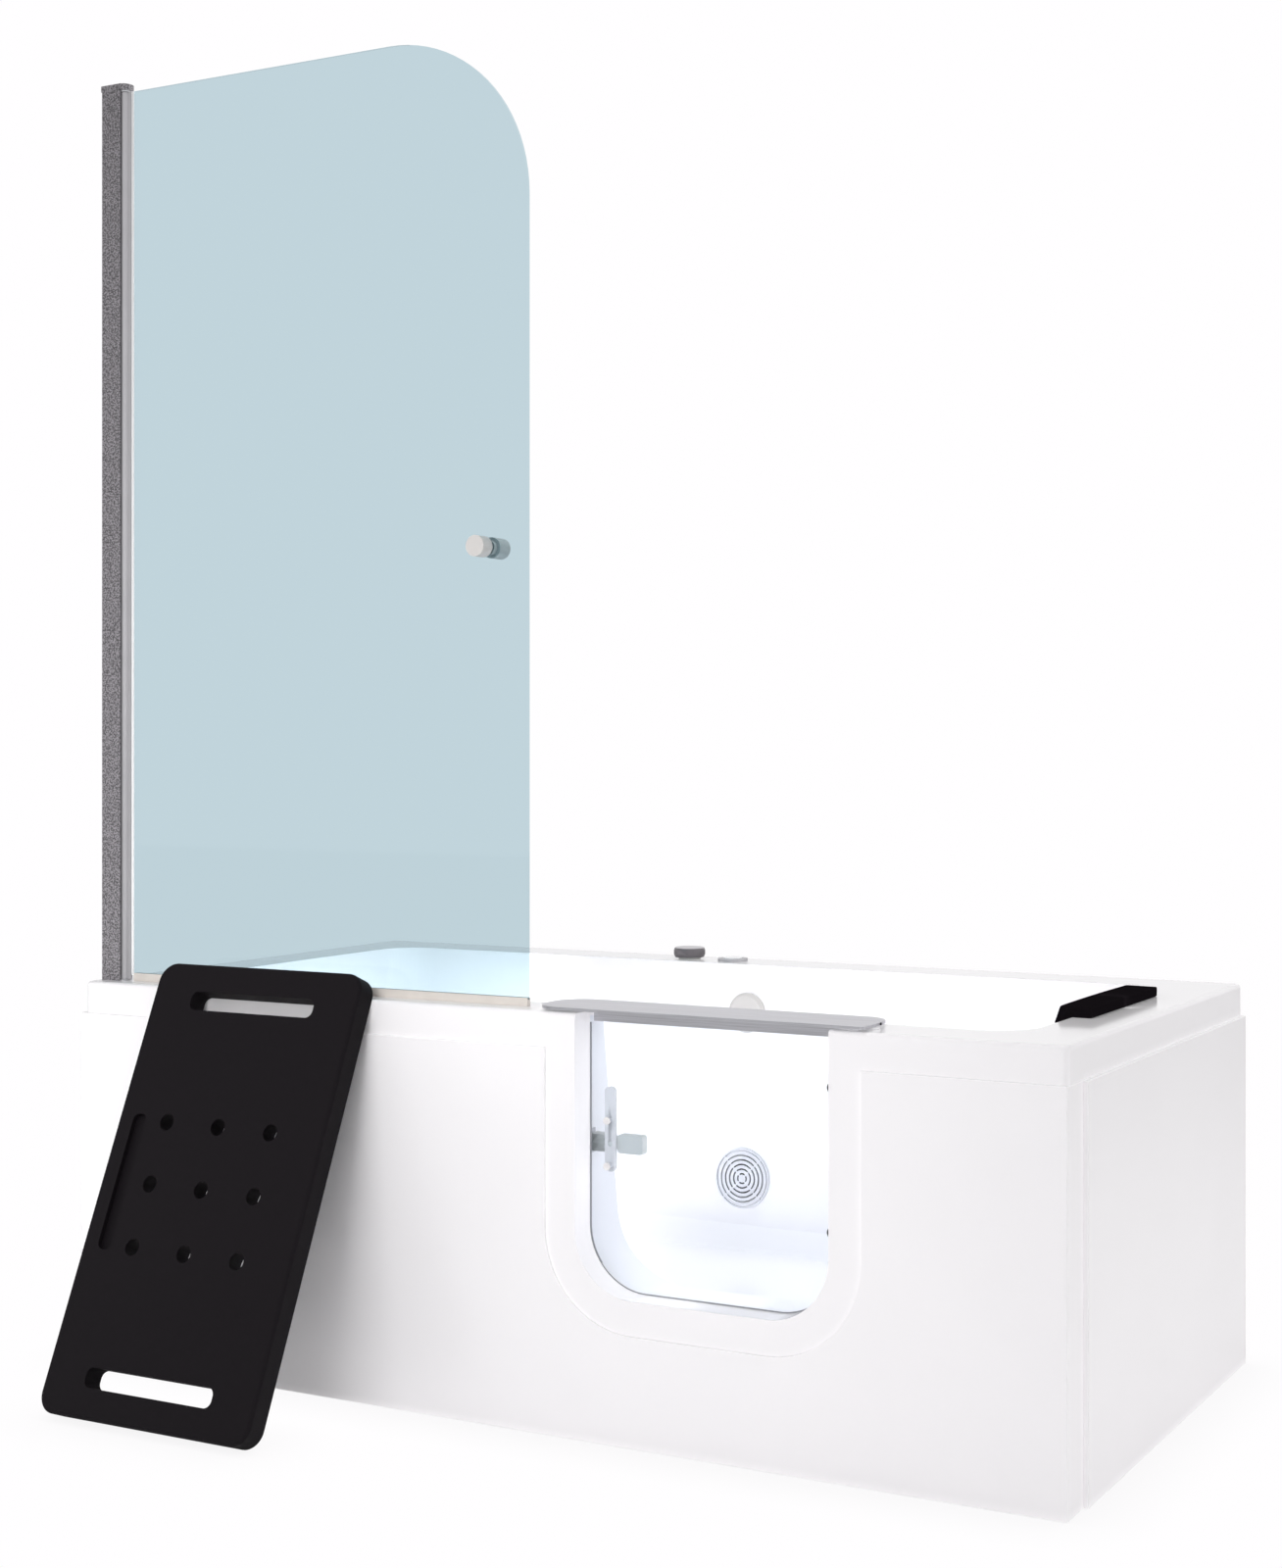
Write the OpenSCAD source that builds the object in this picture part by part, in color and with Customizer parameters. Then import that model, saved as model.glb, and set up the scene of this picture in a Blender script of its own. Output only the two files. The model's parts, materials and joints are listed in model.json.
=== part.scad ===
// Walk-in bath with an inward opening glass door, a pivoting shower screen,
// a headrest and a loose seat board.
// The pieces are laid out from the bath's front left floor corner, with X along
// the front, Y towards the back wall and Z up. from_corner() then moves them so
// that the origin is at floor level in the middle of the bath.

/* [Bath] */
// Length of the bath
tub_l = 1700; // [1600:10:1900]
// Width of the bath
tub_w = 850; // [800:10:950]
// Height of the rim above the floor
rim_h = 620; // [600:5:680]
// Height of the lip that hangs from the rim
lip_h = 52; // [35:1:70]
// Wall thickness of the moulded shell
shell_t = 6; // [4:0.5:8]
// Rounding of the rim's outer edge
rim_r = 6; // [3:1:10]
// Width of the front ledge
ledge_front = 98; // [92:1:110]
// Width of the back ledge
ledge_back = 100; // [94:1:120]
// Width of the ledge at the head end
ledge_head = 96; // [80:1:120]
// Width of the ledge at the foot end
ledge_foot = 96; // [80:1:120]
// Height of the basin's floor
basin_floor = 125; // [115:1:150]
// Corner radius of the basin at the rim
basin_r = 70; // [50:5:100]
// Height of the blend between floor and walls
floor_blend = 40; // [25:1:60]
// How far the floor is drawn in below that blend
floor_inset = 30; // [15:1:40]
// How far the back wall comes in towards the floor
back_run = 28; // [10:1:40]
// How far the front wall comes in towards the floor
front_run = 66; // [20:1:72]
// How far the head end comes in towards the floor
head_run = 95; // [60:5:150]
// How far the foot end comes in towards the floor
foot_run = 45; // [30:5:100]

/* [Doorway] */
// Left jamb, measured from the foot end
door_x = 947; // [900:1:1000]
// Clear width between the jambs
door_w = 408; // [380:1:440]
// Height of the sill
sill_h = 211; // [200:1:240]
// Lower corner radius of the doorway
jamb_r = 95; // [70:1:110]
// Width of the moulded band round the doorway
band_w = 50; // [40:1:60]
// Hidden flange of the band behind the front panel
band_flange = 20; // [10:1:25]
// Depth of the rebate face that the door closes on
rebate_y = 43; // [38:1:48]
// How far the door overlaps the rebate face
door_lap = 8; // [6:0.5:9]
// Air gap round the door in its pocket
pocket_gap = 4; // [3:0.5:6]
// Wall round the pocket
lining_t = 10; // [8:1:12]

/* [Support] */
// Thickness of the board laminated under the floor
base_t = 16; // [12:1:20]
// Side of the square frame tube
tube = 30; // [25:1:35]
// Wall of the frame tube
tube_t = 2; // [1.5:0.5:3]
// Distance of the outer cross tubes from the ends
cross_in = 250; // [235:5:280]
// Distance of the long tubes from front and back
rail_in = 165; // [150:5:190]
// Radius of the threaded rods
rod_r = 5; // [4:0.5:6]
// Radius of the foot pads
pad_r = 22; // [18:1:28]
// Height of the foot pads
pad_h = 12; // [8:1:16]
// Thickness of the nuts
nut_h = 8; // [6:1:10]

/* [Panels] */
// Thickness of the panels
panel_t = 4; // [3:0.5:5]
// Gap between the panels and the floor
panel_lift = 1; // [0.5:0.5:5]
// Return of the front panel at each end
return_d = 60; // [45:1:80]
// How far the panels stand out past the foot end
foot_proud = 6.5; // [5:0.5:9]
// How far the head panel stands out
head_proud = 7; // [5:0.5:9]
// Depth of the turned edge of the end panels
edge_d = 20; // [14:1:30]
// Depth of the skirt that the front panel hangs on
skirt_h = 28; // [20:1:40]

/* [Door] */
// Thickness of the door glass
glass_t = 8; // [6:1:10]
// Thickness of the door seal
seal_t = 2.2; // [1.5:0.1:2.4]
// Height of the glass clamp under the cap rail
clamp_h = 15; // [12:1:24]
// Depth of the glass clamp
clamp_d = 17; // [14:1:20]
// Length of the cap rail past the left jamb
rail_left = 75; // [60:1:100]
// Length of the cap rail past the right jamb
rail_right = 54; // [30:1:60]
// Depth of the cap rail
rail_d = 110; // [100:1:120]
// Thickness of the cap rail
rail_t = 4.5; // [3:0.5:6]
// Gap between the rim and the cap rail
rail_gap = 3.5; // [2.5:0.5:5]
// Corner radius of the cap rail
rail_r = 45; // [10:1:50]
// Radius of the rest pads under the cap rail
rest_r = 15; // [8:1:16]
// Height of the upper hinge
hinge_top_z = 534; // [500:1:560]
// Height of the lower hinge
hinge_low_z = 332; // [320:1:380]
// Radius of the hinge knuckles
knuckle_r = 6.5; // [5.5:0.5:7]
// Radius of the hinge pins
hinge_pin_r = 3; // [2:0.5:3.5]
// Half height of each hinge
hinge_half = 24; // [20:1:30]
// Radius of the round clamps on the glass
button_r = 9; // [7:0.5:11]

/* [Latch] */
// Distance of the latch spindle from the left jamb
latch_in = 28; // [26:0.5:34]
// Height of the latch spindle
latch_z = 424; // [400:1:450]
// Width of the latch plate
plate_w = 18; // [16:1:20]
// Height of the plate above the spindle
plate_up = 84; // [60:1:95]
// Height of the plate below the spindle
plate_down = 41; // [36:1:60]
// Reach of the handle from its spindle
handle_reach = 52; // [46:1:70]
// Half width of the handle's grip
grip_half = 14; // [10:0.5:14]
// Thickness of the handle
handle_t = 14; // [10:1:16]
// Radius of the bolt
bolt_r = 4; // [3:0.5:5]
// Travel of the bolt
bolt_travel = 12; // [8:1:12]

/* [Waste] */
// Waste and overflow, measured from the foot end
waste_x = 846; // [780:1:880]
// Height of the waste
waste_z = 245; // [235:1:260]
// Radius of the waste grille
grille_r = 52.5; // [48:0.5:56]
// Number of slotted rings in the grille
ring_count = 5; // [3:1:6]
// Radius of the waste cup
cup_r = 47; // [44:0.5:50]
// Depth of the waste cup behind the wall
cup_d = 56; // [50:1:60]
// Distance of the overflow's middle below the rim
overflow_in = 85; // [75:1:115]
// Radius of the overflow rosette
rosette_r = 35; // [30:1:40]
// Radius of the trap
trap_r = 34; // [30:1:38]
// Radius of the waste pipe
pipe_r = 20; // [16:0.5:22]
// Distance of the waste outlet from the trap's axis
outlet_in = 120; // [100:1:200]
// Travel of the plug
plug_travel = 13; // [8:1:13]

/* [Rim controls] */
// Waste knob, measured from the foot end
knob_x = 701; // [640:1:740]
// Radius of the waste knob
knob_r = 28.5; // [22:0.5:30]
// Height of the waste knob
knob_h = 17.5; // [12:0.5:30]
// Radius of the knob's spindle
spindle_r = 5; // [4:0.5:6]
// Air button, measured from the foot end
air_x = 790; // [775:1:840]
// Radius of the button's collar
collar_r = 27; // [24:0.5:28]
// Radius of the air button
air_r = 17.3; // [15:0.1:17.5]
// Distance of both controls from the back edge
control_in = 55; // [48:1:60]
// Radius of the waste cable
cable_r = 3; // [2:0.5:3.5]

/* [Headrest] */
// Length of the headrest
head_l = 314; // [250:2:400]
// Distance of its near end from the bath's front
head_y = 290; // [200:5:330]
// Width of the headrest on the ledge
head_w = 50; // [40:1:60]
// Thickness of the headrest
head_t = 16; // [12:1:24]
// How far it reaches over the basin
head_over = 19; // [10:1:24]
// How far its inner tip hangs below the rim
head_drop = 11; // [6:1:16]

/* [Seat board] */
// Length of the board
board_l = 705; // [690:5:780]
// Width of the board
board_w = 400; // [360:2:420]
// Thickness of the board
board_t = 35; // [25:1:40]
// Corner radius of the board
board_r = 30; // [15:1:45]
// Rounding of the board's outer edges
board_e = 5; // [2:0.5:8]
// Left edge of the board from the foot end
board_x = 182; // [100:1:300]
// Distance of the board's foot from the bath
board_out = 265; // [200:5:320]
// Length of the hand slots
slot_l = 242; // [150:2:260]
// Width of the hand slots
slot_w = 30; // [24:1:40]
// Distance of the hand slots from the board's ends
slot_in = 60; // [50:1:76]
// Radius of the drain holes
hole_r = 13; // [8:0.5:14]
// Spacing of the drain holes across the board
hole_dx = 101; // [60:1:105]
// Spacing of the drain holes along the board
hole_dy = 97; // [60:1:120]
// Length of the side recess
recess_l = 212; // [120:2:260]
// Width of the side recess
recess_w = 26; // [12:1:30]
// Distance of the side recess from the board's left edge
recess_in = 44; // [30:1:60]
// Depth of the side recess
recess_d = 8; // [2:0.5:20]

/* [Screen] */
// Width of the screen glass
screen_w = 788; // [650:1:790]
// Height of the screen glass
screen_h = 1460; // [1200:2:1500]
// Thickness of the screen glass
screen_t = 5; // [4:0.5:6]
// Radius of the screen's upper free corner
screen_r = 255; // [100:5:300]
// Distance of the wall profile from the bath's foot end
channel_x = 10; // [6:0.5:14]
// Distance of the wall profile from the bath's front
channel_y = 27; // [20:0.5:32]
// Width of the wall profile
channel_w = 39; // [34:0.5:44]
// Depth of the wall profile
channel_d = 27; // [25:0.5:32]
// Wall of the wall profile
channel_t = 2; // [1.5:0.5:2.5]
// Radius of the pivot tube
pivot_r = 9.5; // [8:0.5:10]
// Radius of the pivot pins
pivot_pin_r = 3; // [2:0.5:4]
// Reach of the lips that hold the glass
lip_reach = 10.5; // [10:0.5:11]
// Height of the pivot blocks
block_h = 2.7; // [2:0.1:6]
// Height of the profile cap
cap_h = 10; // [6:0.5:14]
// Height of the bottom seal
sweep_h = 11; // [9:0.5:14]
// Radius of the screen knob
pull_r = 16; // [12:0.5:20]
// Length of the screen knob in front of the glass
pull_l = 32; // [20:1:36]
// Height of the screen knob
pull_z = 1309; // [1100:1:1400]
// Distance of the screen knob from the free edge
pull_in = 74; // [50:1:100]

/* [Hidden] */
$fn = 64;
// Gap between pieces that move past each other
run_gap = 0.3;
// Radial clearance of every pin, bolt and spindle in its bore
fit_gap = 0.06;
eps = 0.01;

// Corners of the basin's opening
basin_x0 = ledge_foot;
basin_x1 = tub_l - ledge_head;
basin_y0 = ledge_front;
basin_y1 = tub_w - ledge_back;
blend_z = basin_floor + floor_blend;
under_z = rim_h - shell_t;
lip_z = rim_h - lip_h;

// Back wall, which leans out towards the rim
function back_wall(z) = basin_y1 - back_run * (rim_h - z) / (rim_h - blend_z);
back_tilt = atan(back_run / (rim_h - blend_z));

// Doorway, its pocket and the door in it
jamb_x1 = door_x + door_w;
lining_y = ledge_front + front_run + 12;
lining_lap = door_lap + pocket_gap + lining_t;
hinge_side = 21;
pocket_x1 = jamb_x1 + hinge_side;
glass_y = rebate_y + seal_t + run_gap;
glass_back = glass_y + glass_t;
glass_x0 = door_x - door_lap;
glass_x1 = jamb_x1 + door_lap;
glass_top = rim_h - door_lap;
axis_x = glass_x1 + 3;
axis_y = glass_back + 8;
button_x = jamb_x1 - 13;

// Cap rail on its clamp
rail_z = rim_h + rail_gap;
end_pin_r = 2;
clamp_x0 = door_x + door_lap;
clamp_x1 = jamb_x1 - door_lap;
clamp_y = glass_y + glass_t / 2 - clamp_d / 2;

// Latch
latch_x = door_x + latch_in;
plate_t = 5;
handle_y = glass_back + plate_t + 0.5;
bolt_y = glass_back + 12.5;
body_x0 = glass_x0 + 1;
body_x1 = latch_x - plate_w / 2 - run_gap;
body_half = 12.5;
body_d = 22;
screw_up = 35;
keeper_x = door_x - door_lap - pocket_gap;

// Base board, frame and feet
board_top = basin_floor - shell_t;
frame_top = board_top - base_t;
frame_z = frame_top - tube;
bracket_w = 30;
bracket_t = 3;
bracket_h = 40;
cross_x = [cross_in, tub_l / 2, tub_l - cross_in];
rail_y = [rail_in, tub_w - rail_in];
foot_xy = concat(
    [for (x = [cross_x[0], cross_x[2]], y = rail_y) [x, y]],
    [[tub_l / 2, tub_w / 2]]);

// Waste, overflow and what joins them, all on one upright line
overflow_z = rim_h - overflow_in;
drop_off = 39;
drop_y = back_wall(waste_z) + drop_off;
// Outlet under the overflow's body, below the overflow's middle
outlet_drop = 50;
outlet_h = 40;
trap_top = 150;
trap_z = 45;
drop_run = 60;
drop_z0 = trap_top - drop_run;
pipe_z = trap_top - pipe_r - 8;
outlet_end = tub_w - 5;
collar_run = 9;
neck_r = cup_r - 3.5;
stem_r = 3;
plug_r = neck_r - 8;
plug_back = shell_t + 10 + plug_travel + 5;
gland_end = cup_d + 6 + 28;

// Rim controls and the cable's route
control_y = tub_w - control_in;
bush_r = 14;
box_in = 60;
box_top = rim_h - box_in;
box_h = 30;
spindle_d = 52;
knob_foot = 3.2;
air_box_d = 45;
barb_l = 15;
box_side = 44;
cable_y = tub_w - 13;
cable_z = waste_z - gland_end * sin(back_tilt);
gland_y = back_wall(waste_z) + gland_end * cos(back_tilt);
cable_bend = 60;
spindle_l = 50;
air_bore_in = 25;
air_bore_h = 40;
// Length over which the headrest's ends round off
head_round = 70;
cable_start = control_y + box_side / 2 + 3;

// Anti-slip strips under the board
strip_l = 300;
strip_w = 18;
strip_t = 2;
strip_in = 92;

// Board, leaning on the rounded edge of the rim
lean_run = board_out + rim_r;
lean_rise = rim_h - rim_r;
lean_far = sqrt(lean_run * lean_run + lean_rise * lean_rise);
lean = atan(lean_run / lean_rise) - asin((rim_r + run_gap) / lean_far);

// Screen
pivot_x = channel_x + channel_w;
pivot_y = channel_y + channel_d / 2;
screen_x0 = pivot_x + 4.7;
screen_x1 = screen_x0 + screen_w;
screen_z0 = rim_h + sweep_h - 1;
screen_z1 = screen_z0 + screen_h;
tube_z0 = rim_h + block_h + run_gap;
tube_z1 = screen_z1;
channel_z1 = tube_z1 + block_h + run_gap;
// Heights of the wall profile's screw holes
wall_holes = [rim_h + 80, (rim_h + channel_z1) / 2, channel_z1 - 80];
pin_l = 20;
// The profile's rear arm is shorter than its front arm, so that the screen can swing
rear_cut = 5;
front_reach = 16;
seal_w = 4.5;

// Shapes that more than one piece uses

module from_corner() {
    translate([-tub_l / 2, -tub_w / 2, 0]) children();
}

// Rectangle with rounded corners, from one corner point to the other
module rounded_rect(x0, y0, x1, y1, r) {
    translate([x0 + r, y0]) square([x1 - x0 - 2 * r, y1 - y0]);
    translate([x0, y0 + r]) square([x1 - x0, y1 - y0 - 2 * r]);
    for (x = [x0 + r, x1 - r], y = [y0 + r, y1 - r]) translate([x, y]) circle(r);
}

// Upright outline that is open at the top and rounded at its lower corners
module u_outline(x0, x1, z0, z1, r) {
    translate([x0, z0 + r]) square([x1 - x0, z1 - z0 - r]);
    translate([x0 + r, z0]) square([x1 - x0 - 2 * r, r + eps]);
    for (x = [x0 + r, x1 - r]) translate([x, z0 + r]) circle(r);
}

// The doorway's outline, grown outwards by one distance
module doorway(grow, top) {
    u_outline(door_x - grow, jamb_x1 + grow, sill_h - grow, top, jamb_r + grow);
}

// Extrudes an outline that is drawn in X and Z along Y
module along_y(y0, depth) {
    translate([0, y0 + depth, 0]) rotate([90, 0, 0]) linear_extrude(depth) children();
}

// A box from one corner to the other
module block(x0, y0, z0, x1, y1, z1) {
    translate([x0, y0, z0]) cube([x1 - x0, y1 - y0, z1 - z0]);
}

// A ring or pipe that stands on the plane z0
module pipe(outer, inner, z0, z1) {
    translate([0, 0, z0]) difference() {
        cylinder(r = outer, h = z1 - z0);
        translate([0, 0, -eps]) cylinder(r = inner, h = z1 - z0 + 2 * eps);
    }
}

// Puts a fitting on the basin's back wall, with its own Z pointing into the basin
module on_back_wall(z) {
    translate([waste_x, back_wall(z), z]) rotate([90 - back_tilt, 0, 0]) children();
}

// The basin's inside, grown outwards by one distance, up to a given height
module basin(grow, top) {
    r = basin_r + grow;
    low_r = basin_r + grow - 10;
    x0 = basin_x0 - grow;
    x1 = basin_x1 + grow;
    y0 = basin_y0 - grow;
    y1 = basin_y1 + grow;
    hull() {
        translate([0, 0, rim_h]) linear_extrude(top - rim_h) rounded_rect(x0, y0, x1, y1, r);
        translate([0, 0, blend_z]) linear_extrude(eps)
            rounded_rect(x0 + foot_run, y0 + front_run, x1 - head_run, y1 - back_run, low_r);
        translate([0, 0, basin_floor - grow]) linear_extrude(eps)
            rounded_rect(x0 + foot_run + floor_inset, y0 + front_run + floor_inset,
                x1 - head_run - floor_inset, y1 - back_run - floor_inset, low_r);
    }
}

// Bath shell

// Rim plate with its hanging lip, rounded along the outer edge
module rim() {
    difference() {
        hull() {
            translate([0, 0, lip_z]) linear_extrude(lip_h - rim_r)
                rounded_rect(0, 0, tub_l, tub_w, rim_r + 2);
            for (a = [30, 60, 90]) {
                inset = rim_r * (1 - cos(a));
                translate([0, 0, lip_z]) linear_extrude(lip_h - rim_r + rim_r * sin(a))
                    rounded_rect(inset, inset, tub_l - inset, tub_w - inset, rim_r + 2);
            }
        }
        translate([shell_t, shell_t, lip_z - eps])
            cube([tub_l - 2 * shell_t, tub_w - 2 * shell_t, lip_h - shell_t + eps]);
    }
}

// The pocket that the door swings out of, square on the hinge side
module door_pocket() {
    lap = door_lap + pocket_gap;
    along_y(rebate_y, lining_y - rebate_y + 20) {
        u_outline(door_x - lap, pocket_x1, sill_h - lap, rim_h + 1, jamb_r + lap);
        translate([jamb_x1 - jamb_r, sill_h - lap])
            square([pocket_x1 - jamb_x1 + jamb_r, jamb_r + 2 * lap]);
    }
}

// Moulded band and lining round the doorway
module door_surround() {
    along_y(0, shell_t) {
        doorway(band_w + band_flange, rim_h - rim_r);
        translate([2 * rim_r, lip_z - skirt_h])
            square([tub_l - 4 * rim_r, skirt_h + lip_h - rim_r]);
    }
    along_y(eps, lining_y) doorway(lining_lap, under_z + eps);
    along_y(rebate_y - lining_t, lining_y - rebate_y + lining_t) {
        translate([jamb_x1 - jamb_r, sill_h - lining_lap])
            square([hinge_side + lining_t + jamb_r, under_z - sill_h + lining_lap + eps]);
    }
}

module tub_shell() {
    color("white") from_corner() difference() {
        union() {
            rim();
            basin(shell_t, rim_h + eps);
            door_surround();
        }
        basin(0, rim_h + 1);
        along_y(-1, lining_y + 20) doorway(0, rim_h + 1);
        door_pocket();
        on_back_wall(waste_z) translate([0, 0, -2 * shell_t]) cylinder(r = neck_r + 0.5, h = 4 * shell_t);
        on_back_wall(overflow_z) translate([0, 0, -2 * shell_t]) cylinder(r = 25, h = 4 * shell_t);
        translate([knob_x, control_y, under_z - 1]) cylinder(r = bush_r + 0.5, h = shell_t + 2);
        translate([air_x, control_y, under_z - 1]) cylinder(r = air_r + 3.2, h = shell_t + 2);
        translate([body_x0 - bolt_travel - 1.5, bolt_y, latch_z]) rotate([0, 90, 0])
            cylinder(r = bolt_r + 1, h = keeper_x - body_x0 + bolt_travel + 2);
    }
}

// Support

module base_board() {
    color("burlywood") from_corner()
        block(basin_x0 + foot_run + floor_inset + 20, basin_y0 + front_run + floor_inset + 20, frame_top,
            basin_x1 - head_run - floor_inset - 20, basin_y1 - back_run - floor_inset - 20, board_top);
}

module tube_x(x0, x1, y) {
    difference() {
        block(x0, y - tube / 2, frame_z, x1, y + tube / 2, frame_top);
        block(x0 - 1, y - tube / 2 + tube_t, frame_z + tube_t,
            x1 + 1, y + tube / 2 - tube_t, frame_top - tube_t);
    }
}

module tube_y(x, y0, y1) {
    difference() {
        block(x - tube / 2, y0, frame_z, x + tube / 2, y1, frame_top);
        block(x - tube / 2 + tube_t, y0 - 1, frame_z + tube_t,
            x + tube / 2 - tube_t, y1 + 1, frame_top - tube_t);
    }
}

module frame_rails() {
    color("silver") from_corner() for (y = rail_y) for (i = [0, 1])
        tube_x(cross_x[i] + tube / 2, cross_x[i + 1] - tube / 2, y);
}

module frame_cross() {
    color("silver") from_corner() difference() {
        for (x = cross_x) tube_y(x, rail_y[0] - tube / 2 - 10, rail_y[1] + tube / 2 + 10);
        for (p = foot_xy) translate([p[0], p[1], frame_z - 1]) cylinder(r = rod_r + 0.5, h = tube + 2);
    }
}

module foot_rods() {
    color("silver") from_corner() for (p = foot_xy)
        translate([p[0], p[1], pad_h - 4]) cylinder(r = rod_r, h = frame_top - pad_h + 4 - 1);
}

module foot_nuts() {
    color("silver") from_corner() for (p = foot_xy)
        translate([p[0], p[1], frame_z - nut_h]) difference() {
            cylinder(r = rod_r * 1.8, h = nut_h, $fn = 6);
            translate([0, 0, -1]) cylinder(r = rod_r, h = nut_h + 2);
        }
}

module foot_pads() {
    color("dimgray") from_corner() for (p = foot_xy) translate([p[0], p[1], 0]) difference() {
        union() {
            cylinder(r = pad_r, h = pad_h / 2);
            translate([0, 0, pad_h / 2]) cylinder(r1 = pad_r, r2 = rod_r + 5, h = pad_h / 2);
        }
        translate([0, 0, pad_h - 4]) cylinder(r = rod_r, h = 5);
    }
}

// Panels

module front_panel() {
    x0 = -foot_proud;
    color("white") from_corner() difference() {
        union() {
            block(x0, -panel_t, panel_lift, tub_l, 0, lip_z);
            block(x0, -eps, panel_lift, x0 + panel_t, return_d, lip_z);
            block(tub_l - panel_t, -eps, panel_lift, tub_l, return_d, lip_z - run_gap);
        }
        along_y(-panel_t - 1, panel_t + 2) doorway(band_w, rim_h);
    }
}

// Tray shaped end panel between the front panel's return and the back
module end_tray(x_in, x_out) {
    skin = x_out > x_in ? x_out - panel_t : x_out;
    lo = min(x_in, x_out);
    hi = max(x_in, x_out);
    difference() {
        block(lo, return_d, panel_lift, hi, tub_w, lip_z - run_gap);
        block(x_out > x_in ? lo - 1 : skin + panel_t, return_d + panel_t, panel_lift + panel_t,
            x_out > x_in ? skin : hi + 1, tub_w - panel_t, lip_z - run_gap - panel_t);
    }
}

module end_panel_head() {
    color("white") from_corner() end_tray(tub_l + head_proud - edge_d, tub_l + head_proud);
}

module end_panel_foot() {
    color("white") from_corner() end_tray(edge_d - foot_proud, -foot_proud);
}

// Angle brackets between the cross tubes and the foot of the front panel
module panel_brackets() {
    w = bracket_w / 2;
    color("silver") from_corner() for (x = cross_x) {
        block(x - w, 0, frame_z - bracket_t, x + w, rail_y[0] - tube / 2, frame_z);
        block(x - w, 0, frame_z - bracket_h, x + w, bracket_t, frame_z - bracket_t);
    }
}

// Doorway fittings

module door_seal() {
    color("dimgray") from_corner() along_y(rebate_y, seal_t) difference() {
        doorway(door_lap - 1, rim_h - clamp_h - 2);
        doorway(-2, rim_h);
    }
}

module at_hinges() {
    for (z = [hinge_low_z, hinge_top_z]) translate([axis_x, axis_y, z]) children();
}

// Knuckle between two heights, with its bore
module knuckle(z0, z1, bore) {
    translate([0, 0, z0]) difference() {
        cylinder(r = knuckle_r, h = z1 - z0);
        translate([0, 0, -1]) cylinder(r = bore, h = z1 - z0 + 2);
    }
}

module hinge_leaves_fixed() {
    wall = pocket_x1 - axis_x;
    color("silver") from_corner() at_hinges() {
        for (s = [-1, 1]) {
            z0 = s > 0 ? hinge_half / 3 + 1.2 : -hinge_half;
            z1 = s > 0 ? hinge_half : -hinge_half / 3 - 1.2;
            knuckle(z0, z1, hinge_pin_r);
            difference() {
                block(0, -3, z0, wall - 3, 3, z1);
                translate([0, 0, z0 - 1]) cylinder(r = hinge_pin_r + 1, h = z1 - z0 + 2);
            }
        }
        difference() {
            block(wall - 3, -6, -hinge_half, wall, 32, hinge_half);
            for (z = [-14, 14]) translate([wall - 4, 20, z]) rotate([0, 90, 0]) cylinder(r = 2.2, h = 5);
        }
    }
}

module hinge_pins() {
    color("silver") from_corner() at_hinges() {
        translate([0, 0, -hinge_half]) cylinder(r = hinge_pin_r, h = 2 * hinge_half);
    }
}

module hinge_screws() {
    wall = pocket_x1 - axis_x;
    color("silver") from_corner() at_hinges() for (z = [-14, 14])
        translate([wall - 3, 20, z]) rotate([0, 90, 0]) {
            translate([0, 0, -2]) cylinder(r = 4.2, h = 2);
            cylinder(r = 2.2, h = 3);
        }
}

module keeper_plate() {
    color("silver") from_corner() difference() {
        block(keeper_x, bolt_y - 10, latch_z - 18, keeper_x + 1.5, bolt_y + 10, latch_z + 18);
        translate([keeper_x - 1, bolt_y, latch_z]) rotate([0, 90, 0]) cylinder(r = bolt_r + 0.6, h = 4);
    }
}

// Door

module hinge_leaves_door() {
    color("silver") from_corner() at_hinges() {
        knuckle(-hinge_half / 3 - 0.9, hinge_half / 3 + 0.9, hinge_pin_r + fit_gap);
        difference() {
            union() {
                along_y(-8, 4) {
                    translate([button_x - axis_x, 0]) circle(button_r);
                    translate([button_x - axis_x, -button_r]) square([axis_x - button_x + 3, 2 * button_r]);
                }
                block(-3, -8, -hinge_half / 3 - 0.9, 3, -3.6, hinge_half / 3 + 0.9);
            }
            translate([0, 0, -hinge_half]) cylinder(r = hinge_pin_r + 1, h = 2 * hinge_half);
        }
    }
}

module hinge_buttons() {
    color("black") from_corner() for (z = [hinge_low_z, hinge_top_z]) {
        along_y(glass_y - 3.5, 3.5) translate([button_x, z]) circle(button_r);
        along_y(glass_y, glass_t) translate([button_x, z]) circle(button_r - 4.2);
    }
}

module door_glass() {
    color("lightcyan", 0.4) from_corner() along_y(glass_y, glass_t) difference() {
        u_outline(glass_x0, glass_x1, sill_h - door_lap, glass_top, jamb_r + door_lap);
        for (z = [hinge_low_z, hinge_top_z]) translate([button_x, z]) circle(button_r - 4);
        for (z = [latch_z - plate_down + plate_w / 2, latch_z + screw_up]) translate([latch_x, z]) circle(3.5);
    }
}

module glass_clamp() {
    color("silver") from_corner() difference() {
        block(clamp_x0, clamp_y, rail_z - clamp_h - rail_gap, clamp_x1, clamp_y + clamp_d, rail_z);
        block(clamp_x0 - 1, glass_y, rail_z - clamp_h - rail_gap - 1, clamp_x1 + 1, glass_back, glass_top);
    }
}

// Blind hole for the small pin in the rail's hinge end, or the pin itself
module end_pin(h) {
    translate([jamb_x1 + rail_right - 6, rail_d / 2, rail_z + rail_t / 2]) rotate([0, 90, 0])
        cylinder(r = end_pin_r, h = h);
}

module cap_rail() {
    color("silver") from_corner() difference() {
        translate([0, 0, rail_z]) linear_extrude(rail_t) {
            rounded_rect(door_x - rail_left, -2, jamb_x1 + rail_right, rail_d - 2, rail_r);
            rounded_rect(jamb_x1 - 2 * rail_r, -2, jamb_x1 + rail_right, rail_d / 2, 8);
        }
        end_pin(10);
    }
}

module rail_pin() {
    color("black") from_corner() end_pin(7);
}

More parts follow.
